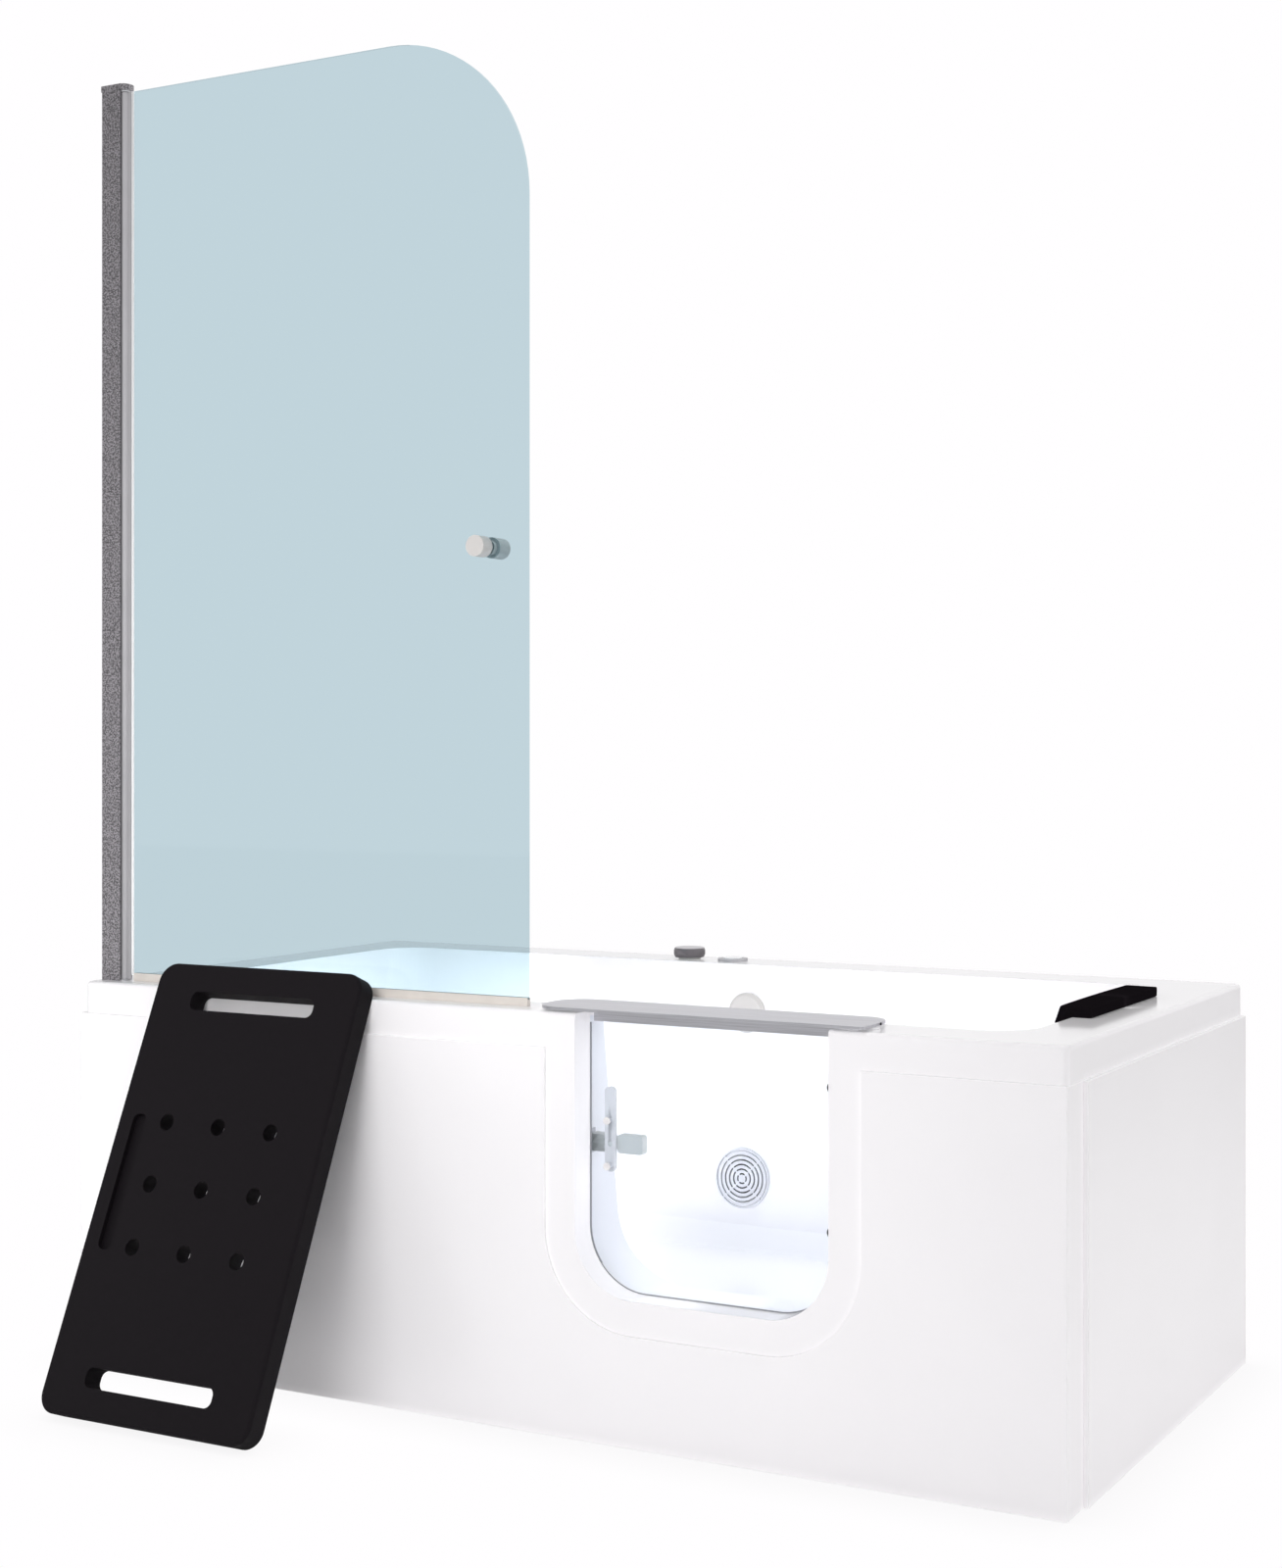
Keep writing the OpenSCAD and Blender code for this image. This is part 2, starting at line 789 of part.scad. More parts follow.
module rail_pads() {
    color("white") from_corner()
        for (x = [door_x - rail_left + rest_r - 4, jamb_x1 + rail_right - rest_r + 4])
            translate([x, rail_d / 2 - 14, rim_h + run_gap]) cylinder(r = rest_r, h = rail_gap - run_gap);
}

// Latch

module latch_plate() {
    half = plate_w / 2;
    color("silver") from_corner() along_y(glass_back, plate_t) difference() {
        rounded_rect(latch_x - half, latch_z - plate_down, latch_x + half, latch_z + plate_up, half - 1);
        translate([latch_x, latch_z]) circle(bolt_r + fit_gap);
        for (z = [latch_z - plate_down + half, latch_z + screw_up]) translate([latch_x, z]) circle(3.2);
    }
}

module latch_body() {
    color("gray") from_corner() difference() {
        block(body_x0, glass_back, latch_z - body_half, body_x1, glass_back + body_d, latch_z + body_half);
        translate([body_x0 - 1, bolt_y, latch_z]) rotate([0, 90, 0])
            cylinder(r = bolt_r + fit_gap, h = body_x1 - body_x0 + 2);
    }
}

module latch_screws() {
    color("silver") from_corner()
        for (z = [latch_z - plate_down + plate_w / 2, latch_z + screw_up]) {
            along_y(glass_y - 2.5, 2.5) translate([latch_x, z]) circle(5.5);
            along_y(glass_y, glass_t + plate_t - 0.5) translate([latch_x, z]) circle(3.2);
        }
}

module latch_handle() {
    half = plate_w / 2;
    color("gray") from_corner() {
        along_y(handle_y, handle_t) {
            translate([latch_x, latch_z]) circle(half);
            translate([latch_x, latch_z - half + 1]) square([half + 12, plate_w - 2]);
            rounded_rect(latch_x + half + 0.5, latch_z - grip_half,
                latch_x + handle_reach, latch_z + grip_half, 5);
        }
        along_y(glass_back + 0.5, plate_t + 1) translate([latch_x, latch_z]) circle(bolt_r);
    }
}

module latch_bolt() {
    color("silver") from_corner() translate([body_x0, bolt_y, latch_z]) rotate([0, 90, 0])
        cylinder(r = bolt_r, h = body_x1 - body_x0 - run_gap);
}

// Waste and overflow

module waste_grille() {
    pitch = (grille_r - 12) / ring_count;
    color("silver") from_corner() on_back_wall(waste_z) translate([0, 0, 0.2]) difference() {
        cylinder(r = grille_r, h = 4);
        for (i = [0 : ring_count]) {
            mid = 6 + pitch * (i + 0.28);
            difference() {
                pipe(mid + pitch * 0.16, mid - pitch * 0.16, -1, 5);
                for (a = [45, 135]) rotate([0, 0, a]) translate([-grille_r, -1.5, -2])
                    cube([2 * grille_r, 3, 8]);
            }
        }
    }
}

module waste_gasket() {
    color("dimgray") from_corner() on_back_wall(waste_z) pipe(cup_r + 8, neck_r, -shell_t - 2, -shell_t);
}

module waste_cup() {
    back = shell_t + cup_d;
    color("gray") from_corner() difference() {
        union() {
            difference() {
                union() {
                    on_back_wall(waste_z) {
                        translate([0, 0, -shell_t - 5]) cylinder(r = cup_r + 8, h = 3);
                        translate([0, 0, -back]) cylinder(r = cup_r, h = cup_d - 4);
                        translate([0, 0, -shell_t - 5]) cylinder(r = neck_r, h = shell_t + 5);
                    }
                    translate([waste_x, drop_y, drop_z0])
                        cylinder(r = 19, h = waste_z - 20 - drop_z0);
                    translate([waste_x, drop_y, waste_z + 20]) cylinder(r = 12, h = cup_r);
                }
                on_back_wall(waste_z) {
                    translate([0, 0, -back + 4]) cylinder(r = cup_r - 4, h = cup_d - 14);
                    translate([0, 0, -back + 4]) cylinder(r = plug_r - 4, h = back);
                    translate([0, 0, -shell_t - 4]) cylinder(r = neck_r - 3, h = shell_t + 6);
                }
                translate([waste_x, drop_y, drop_z0 - 1])
                    cylinder(r = 16, h = waste_z - 19 - drop_z0);
                translate([waste_x, drop_y, waste_z]) cylinder(r = 9.5, h = cup_r + 30);
            }
            on_back_wall(waste_z) {
                translate([0, 0, -gland_end]) cylinder(r = 8, h = gland_end - back + 1);
                for (a = [45, 135]) rotate([0, 0, a]) translate([-neck_r + 1, -1.5, -5])
                    cube([2 * neck_r - 2, 3, 5]);
            }
        }
        on_back_wall(waste_z) translate([0, 0, -gland_end + 4])
            cylinder(r = stem_r + fit_gap, h = gland_end - back + 2);
    }
}

module waste_plug() {
    color("dimgray") from_corner() on_back_wall(waste_z) {
        translate([0, 0, -plug_back]) cylinder(r = plug_r, h = 4);
        translate([0, 0, -shell_t - cup_d - 20]) cylinder(r = stem_r, h = shell_t + cup_d + 20 - plug_back);
    }
}

module waste_trap() {
    color("gray") from_corner() translate([waste_x, drop_y, 0]) difference() {
        union() {
            translate([0, 0, trap_z]) cylinder(r = trap_r, h = trap_top - trap_z);
            translate([0, 0, pipe_z]) rotate([0, -90, 0]) cylinder(r = pipe_r + 4, h = trap_r + 20);
        }
        translate([0, 0, trap_z + 3]) cylinder(r = trap_r - 3, h = trap_top - trap_z - 6);
        translate([0, 0, trap_z + 20]) cylinder(r = 19, h = trap_top);
        translate([-10, 0, pipe_z]) rotate([0, -90, 0]) cylinder(r = pipe_r, h = trap_r + 20);
    }
}

// Pipe from the trap with a drum elbow, a collar and a spigot that points at the wall
module waste_pipe() {
    color("gray") from_corner() translate([waste_x - outlet_in, drop_y, pipe_z]) difference() {
        union() {
            rotate([0, 90, 0]) cylinder(r = pipe_r, h = outlet_in - trap_r + 1);
            rotate([-90, 0, 0]) cylinder(r = pipe_r, h = outlet_end - drop_y);
            rotate([-90, 0, 0]) cylinder(r = pipe_r + 4, h = pipe_r + collar_run);
            cylinder(r = pipe_r + 6, h = 2 * pipe_r + 12, center = true);
        }
        cylinder(r = pipe_r + 3, h = 2 * pipe_r + 6, center = true);
        rotate([0, 90, 0]) cylinder(r = pipe_r - 2, h = outlet_in);
        rotate([-90, 0, 0]) cylinder(r = pipe_r - 2, h = tub_w);
    }
}

module overflow_rosette() {
    color("white") from_corner() on_back_wall(overflow_z) difference() {
        union() {
            translate([0, 0, 0.2]) cylinder(r = rosette_r, h = 5);
            translate([0, 0, 5.2]) cylinder(r1 = rosette_r, r2 = rosette_r - 5, h = 4.5);
        }
        translate([0, 0, -0.1]) cylinder(r = rosette_r - 4, h = 5);
        translate([-12, -rosette_r - 1, -1]) cube([24, 8, 4]);
    }
}

module overflow_body() {
    color("gray") from_corner() difference() {
        union() {
            on_back_wall(overflow_z) {
                translate([0, 0, -shell_t - 3]) cylinder(r = 32, h = 3);
                translate([0, 0, -shell_t - 36]) cylinder(r = 27, h = 34);
                translate([0, 0, -shell_t - 3]) cylinder(r = 24.5, h = shell_t + 3.2);
            }
            translate([waste_x, drop_y, overflow_z - outlet_drop]) cylinder(r = 12, h = outlet_h);
        }
        on_back_wall(overflow_z) translate([0, 0, -shell_t - 33]) cylinder(r = 22, h = shell_t + 34);
        translate([waste_x, drop_y, overflow_z - outlet_drop - 1]) cylinder(r = 9.5, h = outlet_h + 5);
    }
}

module overflow_pipe() {
    color("silver") from_corner() translate([waste_x, drop_y, 0]) {
        pipe(14.5, 12, waste_z + cup_r + 2, overflow_z - 30);
    }
}

// Rim controls

module waste_knob() {
    z0 = rim_h + knob_foot + run_gap;
    color("gray") from_corner() translate([knob_x, control_y, 0]) {
        translate([0, 0, z0]) rotate_extrude() polygon([
            [0, 0], [knob_r - 2, 0], [knob_r, knob_h * 0.3], [knob_r, knob_h * 0.7],
            [knob_r - 1.5, knob_h - 1], [knob_r - 3, knob_h], [0, knob_h]]);
        translate([0, 0, rim_h - spindle_l]) cylinder(r = spindle_r, h = spindle_l + knob_foot + 1);
    }
}

module knob_base() {
    color("gray") from_corner() difference() {
        union() {
            translate([knob_x, control_y, rim_h]) cylinder(r = 20, h = knob_foot);
            translate([knob_x, control_y, box_top]) cylinder(r = bush_r, h = rim_h - box_top);
            translate([knob_x - box_side / 2, control_y - box_side / 2, box_top - box_h])
                cube([box_side, box_side, box_h]);
            translate([knob_x, control_y, box_top - box_h / 2]) rotate([-90, 0, 0])
                cylinder(r = 7, h = box_side / 2 + 3);
        }
        translate([knob_x, control_y, rim_h - spindle_d])
            cylinder(r = spindle_r + fit_gap, h = spindle_d + 8);
    }
}

module knob_nut() {
    color("silver") from_corner() translate([knob_x, control_y, under_z - nut_h]) difference() {
        cylinder(r = bush_r + 8, h = nut_h, $fn = 6);
        translate([0, 0, -1]) cylinder(r = bush_r, h = nut_h + 2);
    }
}

// Sleeve over the joint between a straight run of cable and a bend
module cable_sleeve() {
    translate([0, 0, -5]) cylinder(r = cable_r + 1.2, h = 10);
}

// Sheathed cable from the knob's gearbox down to the back of the waste cup
module waste_cable() {
    start_z = box_top - box_h / 2;
    first_bend = cable_y - cable_start;
    last_bend = cable_y - gland_y;
    low_z = cable_z + cable_bend;
    run_x = waste_x - last_bend - knob_x - cable_bend;
    color("black") from_corner() {
        translate([knob_x, cable_start, start_z - first_bend]) rotate([90, 0, 90])
            rotate_extrude(angle = 90) translate([first_bend, 0]) circle(cable_r);
        translate([knob_x, cable_y, low_z + 1]) cylinder(r = cable_r, h = start_z - first_bend - low_z - 2);
        translate([knob_x + cable_bend, cable_y, low_z]) rotate([90, 0, 0]) rotate([0, 0, 180])
            rotate_extrude(angle = 90) translate([cable_bend, 0]) circle(cable_r);
        translate([knob_x + cable_bend + 1, cable_y, cable_z]) rotate([0, 90, 0])
            cylinder(r = cable_r, h = run_x - 2);
        translate([waste_x - last_bend, cable_y - last_bend, cable_z])
            rotate_extrude(angle = 90) translate([last_bend, 0]) circle(cable_r);
        for (z = [start_z - first_bend, low_z]) translate([knob_x, cable_y, z]) cable_sleeve();
        for (x = [knob_x + cable_bend, waste_x - last_bend])
            translate([x, cable_y, cable_z]) rotate([0, 90, 0]) cable_sleeve();
    }
}

module air_collar() {
    color("silver") from_corner() translate([air_x, control_y, 0]) difference() {
        union() {
            translate([0, 0, rim_h]) cylinder(r = collar_r, h = 5);
            translate([0, 0, rim_h - 24]) cylinder(r = air_r + 3, h = 25);
        }
        translate([0, 0, rim_h - air_bore_in]) cylinder(r = air_r + run_gap, h = air_bore_h);
    }
}

module air_button() {
    color("white") from_corner() translate([air_x, control_y, 0]) {
        translate([0, 0, rim_h - 4]) cylinder(r = air_r, h = 10.5);
        translate([0, 0, rim_h - 20]) cylinder(r = 5, h = 17);
    }
}

module air_housing() {
    color("dimgray") from_corner() translate([air_x, control_y, 0]) {
        difference() {
            translate([0, 0, rim_h - air_box_d]) cylinder(r = air_r + 6, h = air_box_d - shell_t);
            translate([0, 0, rim_h - air_box_d + 3]) cylinder(r = air_r + 3, h = air_box_d);
        }
        translate([0, 0, rim_h - air_box_d - barb_l]) cylinder(r = 3, h = barb_l + eps);
        pipe(7, 5 + fit_gap, rim_h - air_box_d + 3 - eps, rim_h - 18);
    }
}

// Headrest, crowned along its top and drawn in at both ends

// One slice of the headrest. Each point has its place and how far it is drawn in.
module head_slice(y, tuck, points) {
    translate([0, y + 0.5, 0]) rotate([90, 0, 0]) linear_extrude(0.5) polygon([
        for (p = points) [p[0] + p[2] * tuck, p[1] + p[3] * tuck]]);
}

module head_loft(points) {
    last = head_y + head_l - 0.5;
    hull() {
        for (t = [[0, 3], [2, 1.6], [6, 0.8], [20, 0.4], [head_round, 0]]) {
            head_slice(head_y + t[0], t[1], points);
            head_slice(last - t[0], t[1], points);
        }
    }
}

module headrest() {
    x0 = basin_x1 - head_over;
    x1 = x0 + head_w;
    z0 = rim_h + run_gap;
    top = z0 + head_t;
    edge = basin_x1 - 1;
    color("black") from_corner() union() {
        head_loft([
            [x1, z0, -1, 0], [x1, top - 4, -1, -1], [x1 - 4, top - 1, -1, -1],
            [x1 - 22, top, 0, -1], [edge - 12, top - 1, 0, -1], [edge - 12, z0, 0, 0]]);
        head_loft([
            [edge, z0 + 1, 0, 0], [edge, top - 3, 0, -1], [x0 + 4, top - 1.4, 0, -1],
            [x0, top - 4, 1, -1], [x0 - 9, rim_h - head_drop + 3, 1, 0],
            [x0 - 7, rim_h - head_drop, 1, 0]]);
    }
}

// Seat board, leaning against the front of the bath

module on_board() {
    translate([board_x, -board_out, 0]) rotate([90 - lean, 0, 0]) children();
}

// Slab with rounded corners, its upper edge rounded by e all the way round
module rounded_slab(w, l, t, r, e) {
    linear_extrude(t - e) rounded_rect(0, 0, w, l, r);
    translate([0, 0, t - e - eps]) linear_extrude(e + eps) rounded_rect(e, e, w - e, l - e, r - e);
    for (x = [e, w - e]) translate([x, r, t - e]) rotate([-90, 0, 0]) cylinder(r = e, h = l - 2 * r);
    for (y = [e, l - e]) translate([r, y, t - e]) rotate([0, 90, 0]) cylinder(r = e, h = w - 2 * r);
    for (x = [r, w - r], y = [r, l - r]) translate([x, y, t - e])
        rotate_extrude() translate([r - e, 0]) circle(e);
}

module board_cuts() {
    for (y = [slot_in, board_l - slot_in])
        rounded_rect_at(board_w / 2, y, slot_l, slot_w, slot_w / 2 - 3);
}

// Drain holes, which widen towards the board's underside
module drain_holes() {
    for (i = [-1 : 1], j = [-1 : 1])
        translate([board_w / 2 + i * hole_dx, board_l / 2 + j * hole_dy, 0]) {
            cylinder(r1 = hole_r + 5, r2 = hole_r, h = board_t);
            translate([0, 0, -1]) cylinder(r = hole_r + 5, h = 1 + eps);
            translate([0, 0, board_t - eps]) cylinder(r = hole_r, h = 1);
        }
}

module rounded_rect_at(x, y, w, h, r) {
    rounded_rect(x - w / 2, y - h / 2, x + w / 2, y + h / 2, r);
}

module seat_board() {
    color("black") from_corner() on_board() difference() {
        rounded_slab(board_w, board_l, board_t, board_r, board_e);
        translate([0, 0, -1]) linear_extrude(board_t + 2) board_cuts();
        drain_holes();
        translate([0, 0, board_t - recess_d]) linear_extrude(recess_d + 1)
            rounded_rect_at(recess_in, board_l / 2, recess_w, recess_l, recess_w / 2 - 2);
        for (y = [strip_in, board_l - strip_in]) translate([0, 0, -1]) linear_extrude(strip_t + 1)
            rounded_rect_at(board_w / 2, y, strip_l, strip_w, 4);
    }
}

module board_strips() {
    color("dimgray") from_corner() on_board() linear_extrude(strip_t)
        for (y = [strip_in, board_l - strip_in]) rounded_rect_at(board_w / 2, y, strip_l, strip_w, 4);
}

// Screen

module wall_channel() {
    x1 = channel_x + channel_w;
    y1 = channel_y + channel_d;
    color("gray") from_corner() difference() {
        block(channel_x, channel_y, rim_h, x1, y1, channel_z1);
        block(channel_x + channel_t, channel_y + channel_t, rim_h - 1,
            x1 + 1, y1 - channel_t, channel_z1 + 1);
        block(x1 - rear_cut, y1 - channel_t - 1, rim_h - 1, x1 + 1, y1 + 1, channel_z1 + 1);
        for (z = wall_holes) translate([channel_x - 1, pivot_y, z]) rotate([0, 90, 0])
            cylinder(r = 2.75, h = channel_t + 2);
    }
}

module channel_cap() {
    over = 1.2;
    r = channel_d / 2 + over;
    color("gray") from_corner() translate([0, 0, channel_z1]) linear_extrude(cap_h) {
        translate([channel_x - 1, pivot_y - r]) square([pivot_x - 2 - channel_x + 1, 2 * r]);
        translate([pivot_x - 2, pivot_y]) circle(r);
    }
}

// Block that carries one pivot pin, in one end of the wall profile
module pivot_block(z0, pin_z) {
    half = channel_d / 2 - channel_t;
    block(channel_x + channel_t, pivot_y - half, z0, pivot_x, pivot_y + half, z0 + block_h);
    translate([pivot_x, pivot_y, z0]) cylinder(r = half, h = block_h);
    translate([pivot_x, pivot_y, pin_z]) cylinder(r = pivot_pin_r, h = pin_l + eps);
}

module pivot_block_bottom() {
    color("dimgray") from_corner() pivot_block(rim_h, rim_h + block_h - eps);
}

module pivot_block_top() {
    color("dimgray") from_corner() pivot_block(channel_z1 - block_h, channel_z1 - block_h - pin_l);
}

module pivot_profile() {
    color("silver") from_corner() translate([pivot_x, pivot_y, tube_z0]) linear_extrude(tube_z1 - tube_z0)
        difference() {
            union() {
                circle(pivot_r);
                translate([0, -screen_t / 2 - 2]) square([lip_reach, screen_t + 4]);
                translate([0, -screen_t / 2 - 2]) square([front_reach, screen_t / 2 + 2]);
            }
            circle(pivot_pin_r + fit_gap);
            translate([screen_x0 - pivot_x, -screen_t / 2]) square([front_reach, screen_t]);
        }
}

module screen_outline(x0, x1, z0, z1, r) {
    translate([x0, z0]) square([x1 - x0 - r, z1 - z0]);
    translate([x1 - r, z0]) square([r, z1 - z0 - r]);
    translate([x1 - r, z1 - r]) circle(r, $fn = 128);
}

module screen_glass() {
    color("lightblue", 0.5) from_corner() along_y(pivot_y - screen_t / 2, screen_t) difference() {
        screen_outline(screen_x0, screen_x1, screen_z0, screen_z1, screen_r);
        translate([screen_x1 - pull_in, pull_z]) circle(4.5);
    }
}

// Clear strips that close the joint between the glass and its profile
module side_seal() {
    front_x = pivot_x + front_reach + 1;
    rear_x = pivot_x + lip_reach;
    color("white") from_corner() {
        block(front_x, pivot_y - screen_t / 2 - 2, screen_z0, front_x + seal_w, pivot_y - screen_t / 2, tube_z1);
        block(rear_x, pivot_y + screen_t / 2, screen_z0, rear_x + seal_w, pivot_y + screen_t / 2 + 2, tube_z1);
    }
}

module bottom_seal() {
    x0 = pivot_x + front_reach + 1 + seal_w;
    half = screen_t / 2 + 2;
    color("wheat") from_corner() difference() {
        block(x0, pivot_y - half, rim_h + run_gap, screen_x1, pivot_y + half, rim_h + sweep_h + 2);
        block(x0 - 1, pivot_y - screen_t / 2, screen_z0,
            screen_x1 + 1, pivot_y + screen_t / 2, rim_h + sweep_h + 3);
    }
}

module pull_front() {
    color("white") from_corner()
        translate([screen_x1 - pull_in, pivot_y - screen_t / 2, pull_z]) rotate([90, 0, 0]) {
        cylinder(r = pull_r - 5, h = 8);
        translate([0, 0, 8]) cylinder(r = pull_r, h = pull_l - 8);
    }
}

module pull_rear() {
    color("white") from_corner()
        translate([screen_x1 - pull_in, pivot_y + screen_t / 2, pull_z]) rotate([-90, 0, 0]) {
        cylinder(r = pull_r - 5, h = 8);
        translate([0, 0, 8]) cylinder(r = pull_r, h = pull_l - 4);
        translate([0, 0, -screen_t]) cylinder(r = 4.3, h = screen_t + eps);
    }
}

tub_shell();
base_board();
frame_rails();
frame_cross();
foot_rods();
foot_nuts();
foot_pads();
front_panel();
end_panel_head();
end_panel_foot();
panel_brackets();
door_seal();
hinge_leaves_fixed();
hinge_pins();
hinge_screws();
keeper_plate();
hinge_leaves_door();
hinge_buttons();
door_glass();
glass_clamp();
cap_rail();
rail_pin();
rail_pads();
latch_plate();
latch_body();
latch_screws();
latch_handle();
latch_bolt();
waste_grille();
waste_gasket();
waste_cup();
waste_plug();
waste_trap();
waste_pipe();
overflow_rosette();
overflow_body();
overflow_pipe();
waste_knob();
knob_base();
knob_nut();
waste_cable();
air_collar();
air_button();
air_housing();
headrest();
seat_board();
board_strips();
wall_channel();
channel_cap();
pivot_block_top();
pivot_block_bottom();
pivot_profile();
screen_glass();
side_seal();
bottom_seal();
pull_front();
pull_rear();
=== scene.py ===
"""Looks of a walk-in bath with a glass door, a shower screen, a headrest and a seat board.

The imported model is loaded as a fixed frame. Every rigid piece keeps its own
solid and gets a procedural finish here. The headrest is soft, so it is
modelled here as an upholstered wedge and stands for its plain solid.
All lengths are in metres unless a name says mm.
"""

import json
import logging
import math
from dataclasses import dataclass, field
from enum import Enum
from typing import Sequence

import bpy
import bmesh
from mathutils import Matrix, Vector

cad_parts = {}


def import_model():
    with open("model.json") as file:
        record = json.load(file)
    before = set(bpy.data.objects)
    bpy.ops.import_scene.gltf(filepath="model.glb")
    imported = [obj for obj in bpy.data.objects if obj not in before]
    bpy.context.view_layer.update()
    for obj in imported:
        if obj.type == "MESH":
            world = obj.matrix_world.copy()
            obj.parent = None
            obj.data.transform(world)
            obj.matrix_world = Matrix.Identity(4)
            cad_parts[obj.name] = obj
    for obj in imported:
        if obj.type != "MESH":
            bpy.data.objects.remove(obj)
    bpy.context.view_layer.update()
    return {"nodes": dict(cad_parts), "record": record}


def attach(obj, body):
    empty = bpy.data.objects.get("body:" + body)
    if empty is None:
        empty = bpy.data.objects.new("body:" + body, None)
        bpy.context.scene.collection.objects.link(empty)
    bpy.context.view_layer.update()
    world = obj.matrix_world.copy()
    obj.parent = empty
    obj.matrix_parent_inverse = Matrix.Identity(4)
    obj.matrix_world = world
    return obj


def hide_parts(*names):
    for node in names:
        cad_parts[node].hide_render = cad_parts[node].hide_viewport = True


LOG = logging.getLogger("bath")

Colour = tuple[float, float, float, float]
Point = tuple[float, float, float]

MM_PER_M = 1000.0
WHITE: Colour = (1.0, 1.0, 1.0, 1.0)

# Surfaces
COAT_ROUGHNESS = 0.05
UPWARD_Z = 0.6            # a face looks up, and gets the painted top light, if its normal's Z is above this
PAINTED_HIGHLIGHT_GAIN = 2.0           # gain of the painted edge highlight on the share of inner rays that an edge lets out
PAINTED_CORNER_REACH = 0.014     # how far from a corner the painted corner light reaches
BEVEL_SAMPLES = 4
OCCLUSION_SAMPLES = 6
GRAZING_POWER = 5.0       # rise of a clear sheet's mirror image towards its edge-on view
NOISE_ROUGHNESS = 0.6

# Headrest
CORNER_STEPS = 4          # straight pieces in each rounded corner
CORNER_SHARE = 0.4        # most of a side that one rounded corner takes
TUCK_REACH = 0.010        # length at each end over which the headrest is drawn in
TOP_Z = 0.630             # points above this height crown with the top
FOOT_RISE = 0.0008        # points this close above the ledge stay on it
FOOT_SIDE = 0.001         # and so far past the inner foot

# Studio
SENSOR_MM = 36.0
SIGHT = 60.0              # far limit of the camera's view
FLOOR_HALF = 14.0
FLOOR_SAMPLES = 8
BACKDROP_STRENGTH = 1.0


class Pattern(Enum):
    """The fine structure that a finish shows close up."""

    PLAIN = "plain"
    GRAINED = "grained"
    BRUSHED = "brushed"
    MOTTLED = "mottled"
    WOOD = "wood"


# Octaves of the noise behind each pattern
NOISE_DETAIL = {
    Pattern.MOTTLED: 1.0,
    Pattern.GRAINED: 3.0,
    Pattern.BRUSHED: 4.0,
    Pattern.WOOD: 5.0,
}


class Clarity(Enum):
    """Whether light goes through a finish."""

    OPAQUE = "opaque"
    CLEAR = "clear"


@dataclass(frozen=True)
class Finish:
    """A surface finish of one material slot.

    Attributes:
        slot: Name of the material slot in the record.
        colour: Main colour as an sRGB hex string.
        roughness: Micro roughness from 0 to 1.
        metallic: 1 for bare metal, 0 for everything else.
        coat: Weight of a clear, smooth top layer.
        specular: Strength of the mirror image that a plain surface gives.
        pattern: Fine structure of the surface.
        pattern_mm: Size of that structure.
        contrast: Share by which the structure lightens and darkens the colour.
        relief_mm: Height of the structure.
        stretch: How many times longer the structure is along one axis.
        axis: The axis of that stretch, 0 to 2.
        clarity: Whether light goes through.
        gloss: Strength of the mirror image on a clear finish, seen straight on.
        edge_mm: Radius by which the shading rounds the edges off, also the width of the painted
            edge highlight.
        painted_edge_highlight: Painted highlight, a white emission added on the outer, rounded
            edges.
        painted_corner_light: Painted light, a white emission added in the inner corners that
            lightens their shade.
        sharp: Half width of the step between the dark and the light grains.
        top: Painted light: a paler colour for the faces that look up, standing in for light from
            above, or the main colour if empty.
    """

    slot: str
    colour: str
    roughness: float = 0.4
    metallic: float = 0.0
    coat: float = 0.0
    specular: float = 0.5
    pattern: Pattern = Pattern.PLAIN
    pattern_mm: float = 2.0
    contrast: float = 0.0
    relief_mm: float = 0.0
    stretch: float = 1.0
    axis: int = 0
    clarity: Clarity = Clarity.OPAQUE
    gloss: float = 0.0
    edge_mm: float = 0.0
    painted_edge_highlight: float = 0.0
    painted_corner_light: float = 0.0
    sharp: float = 0.15
    top: str = ""


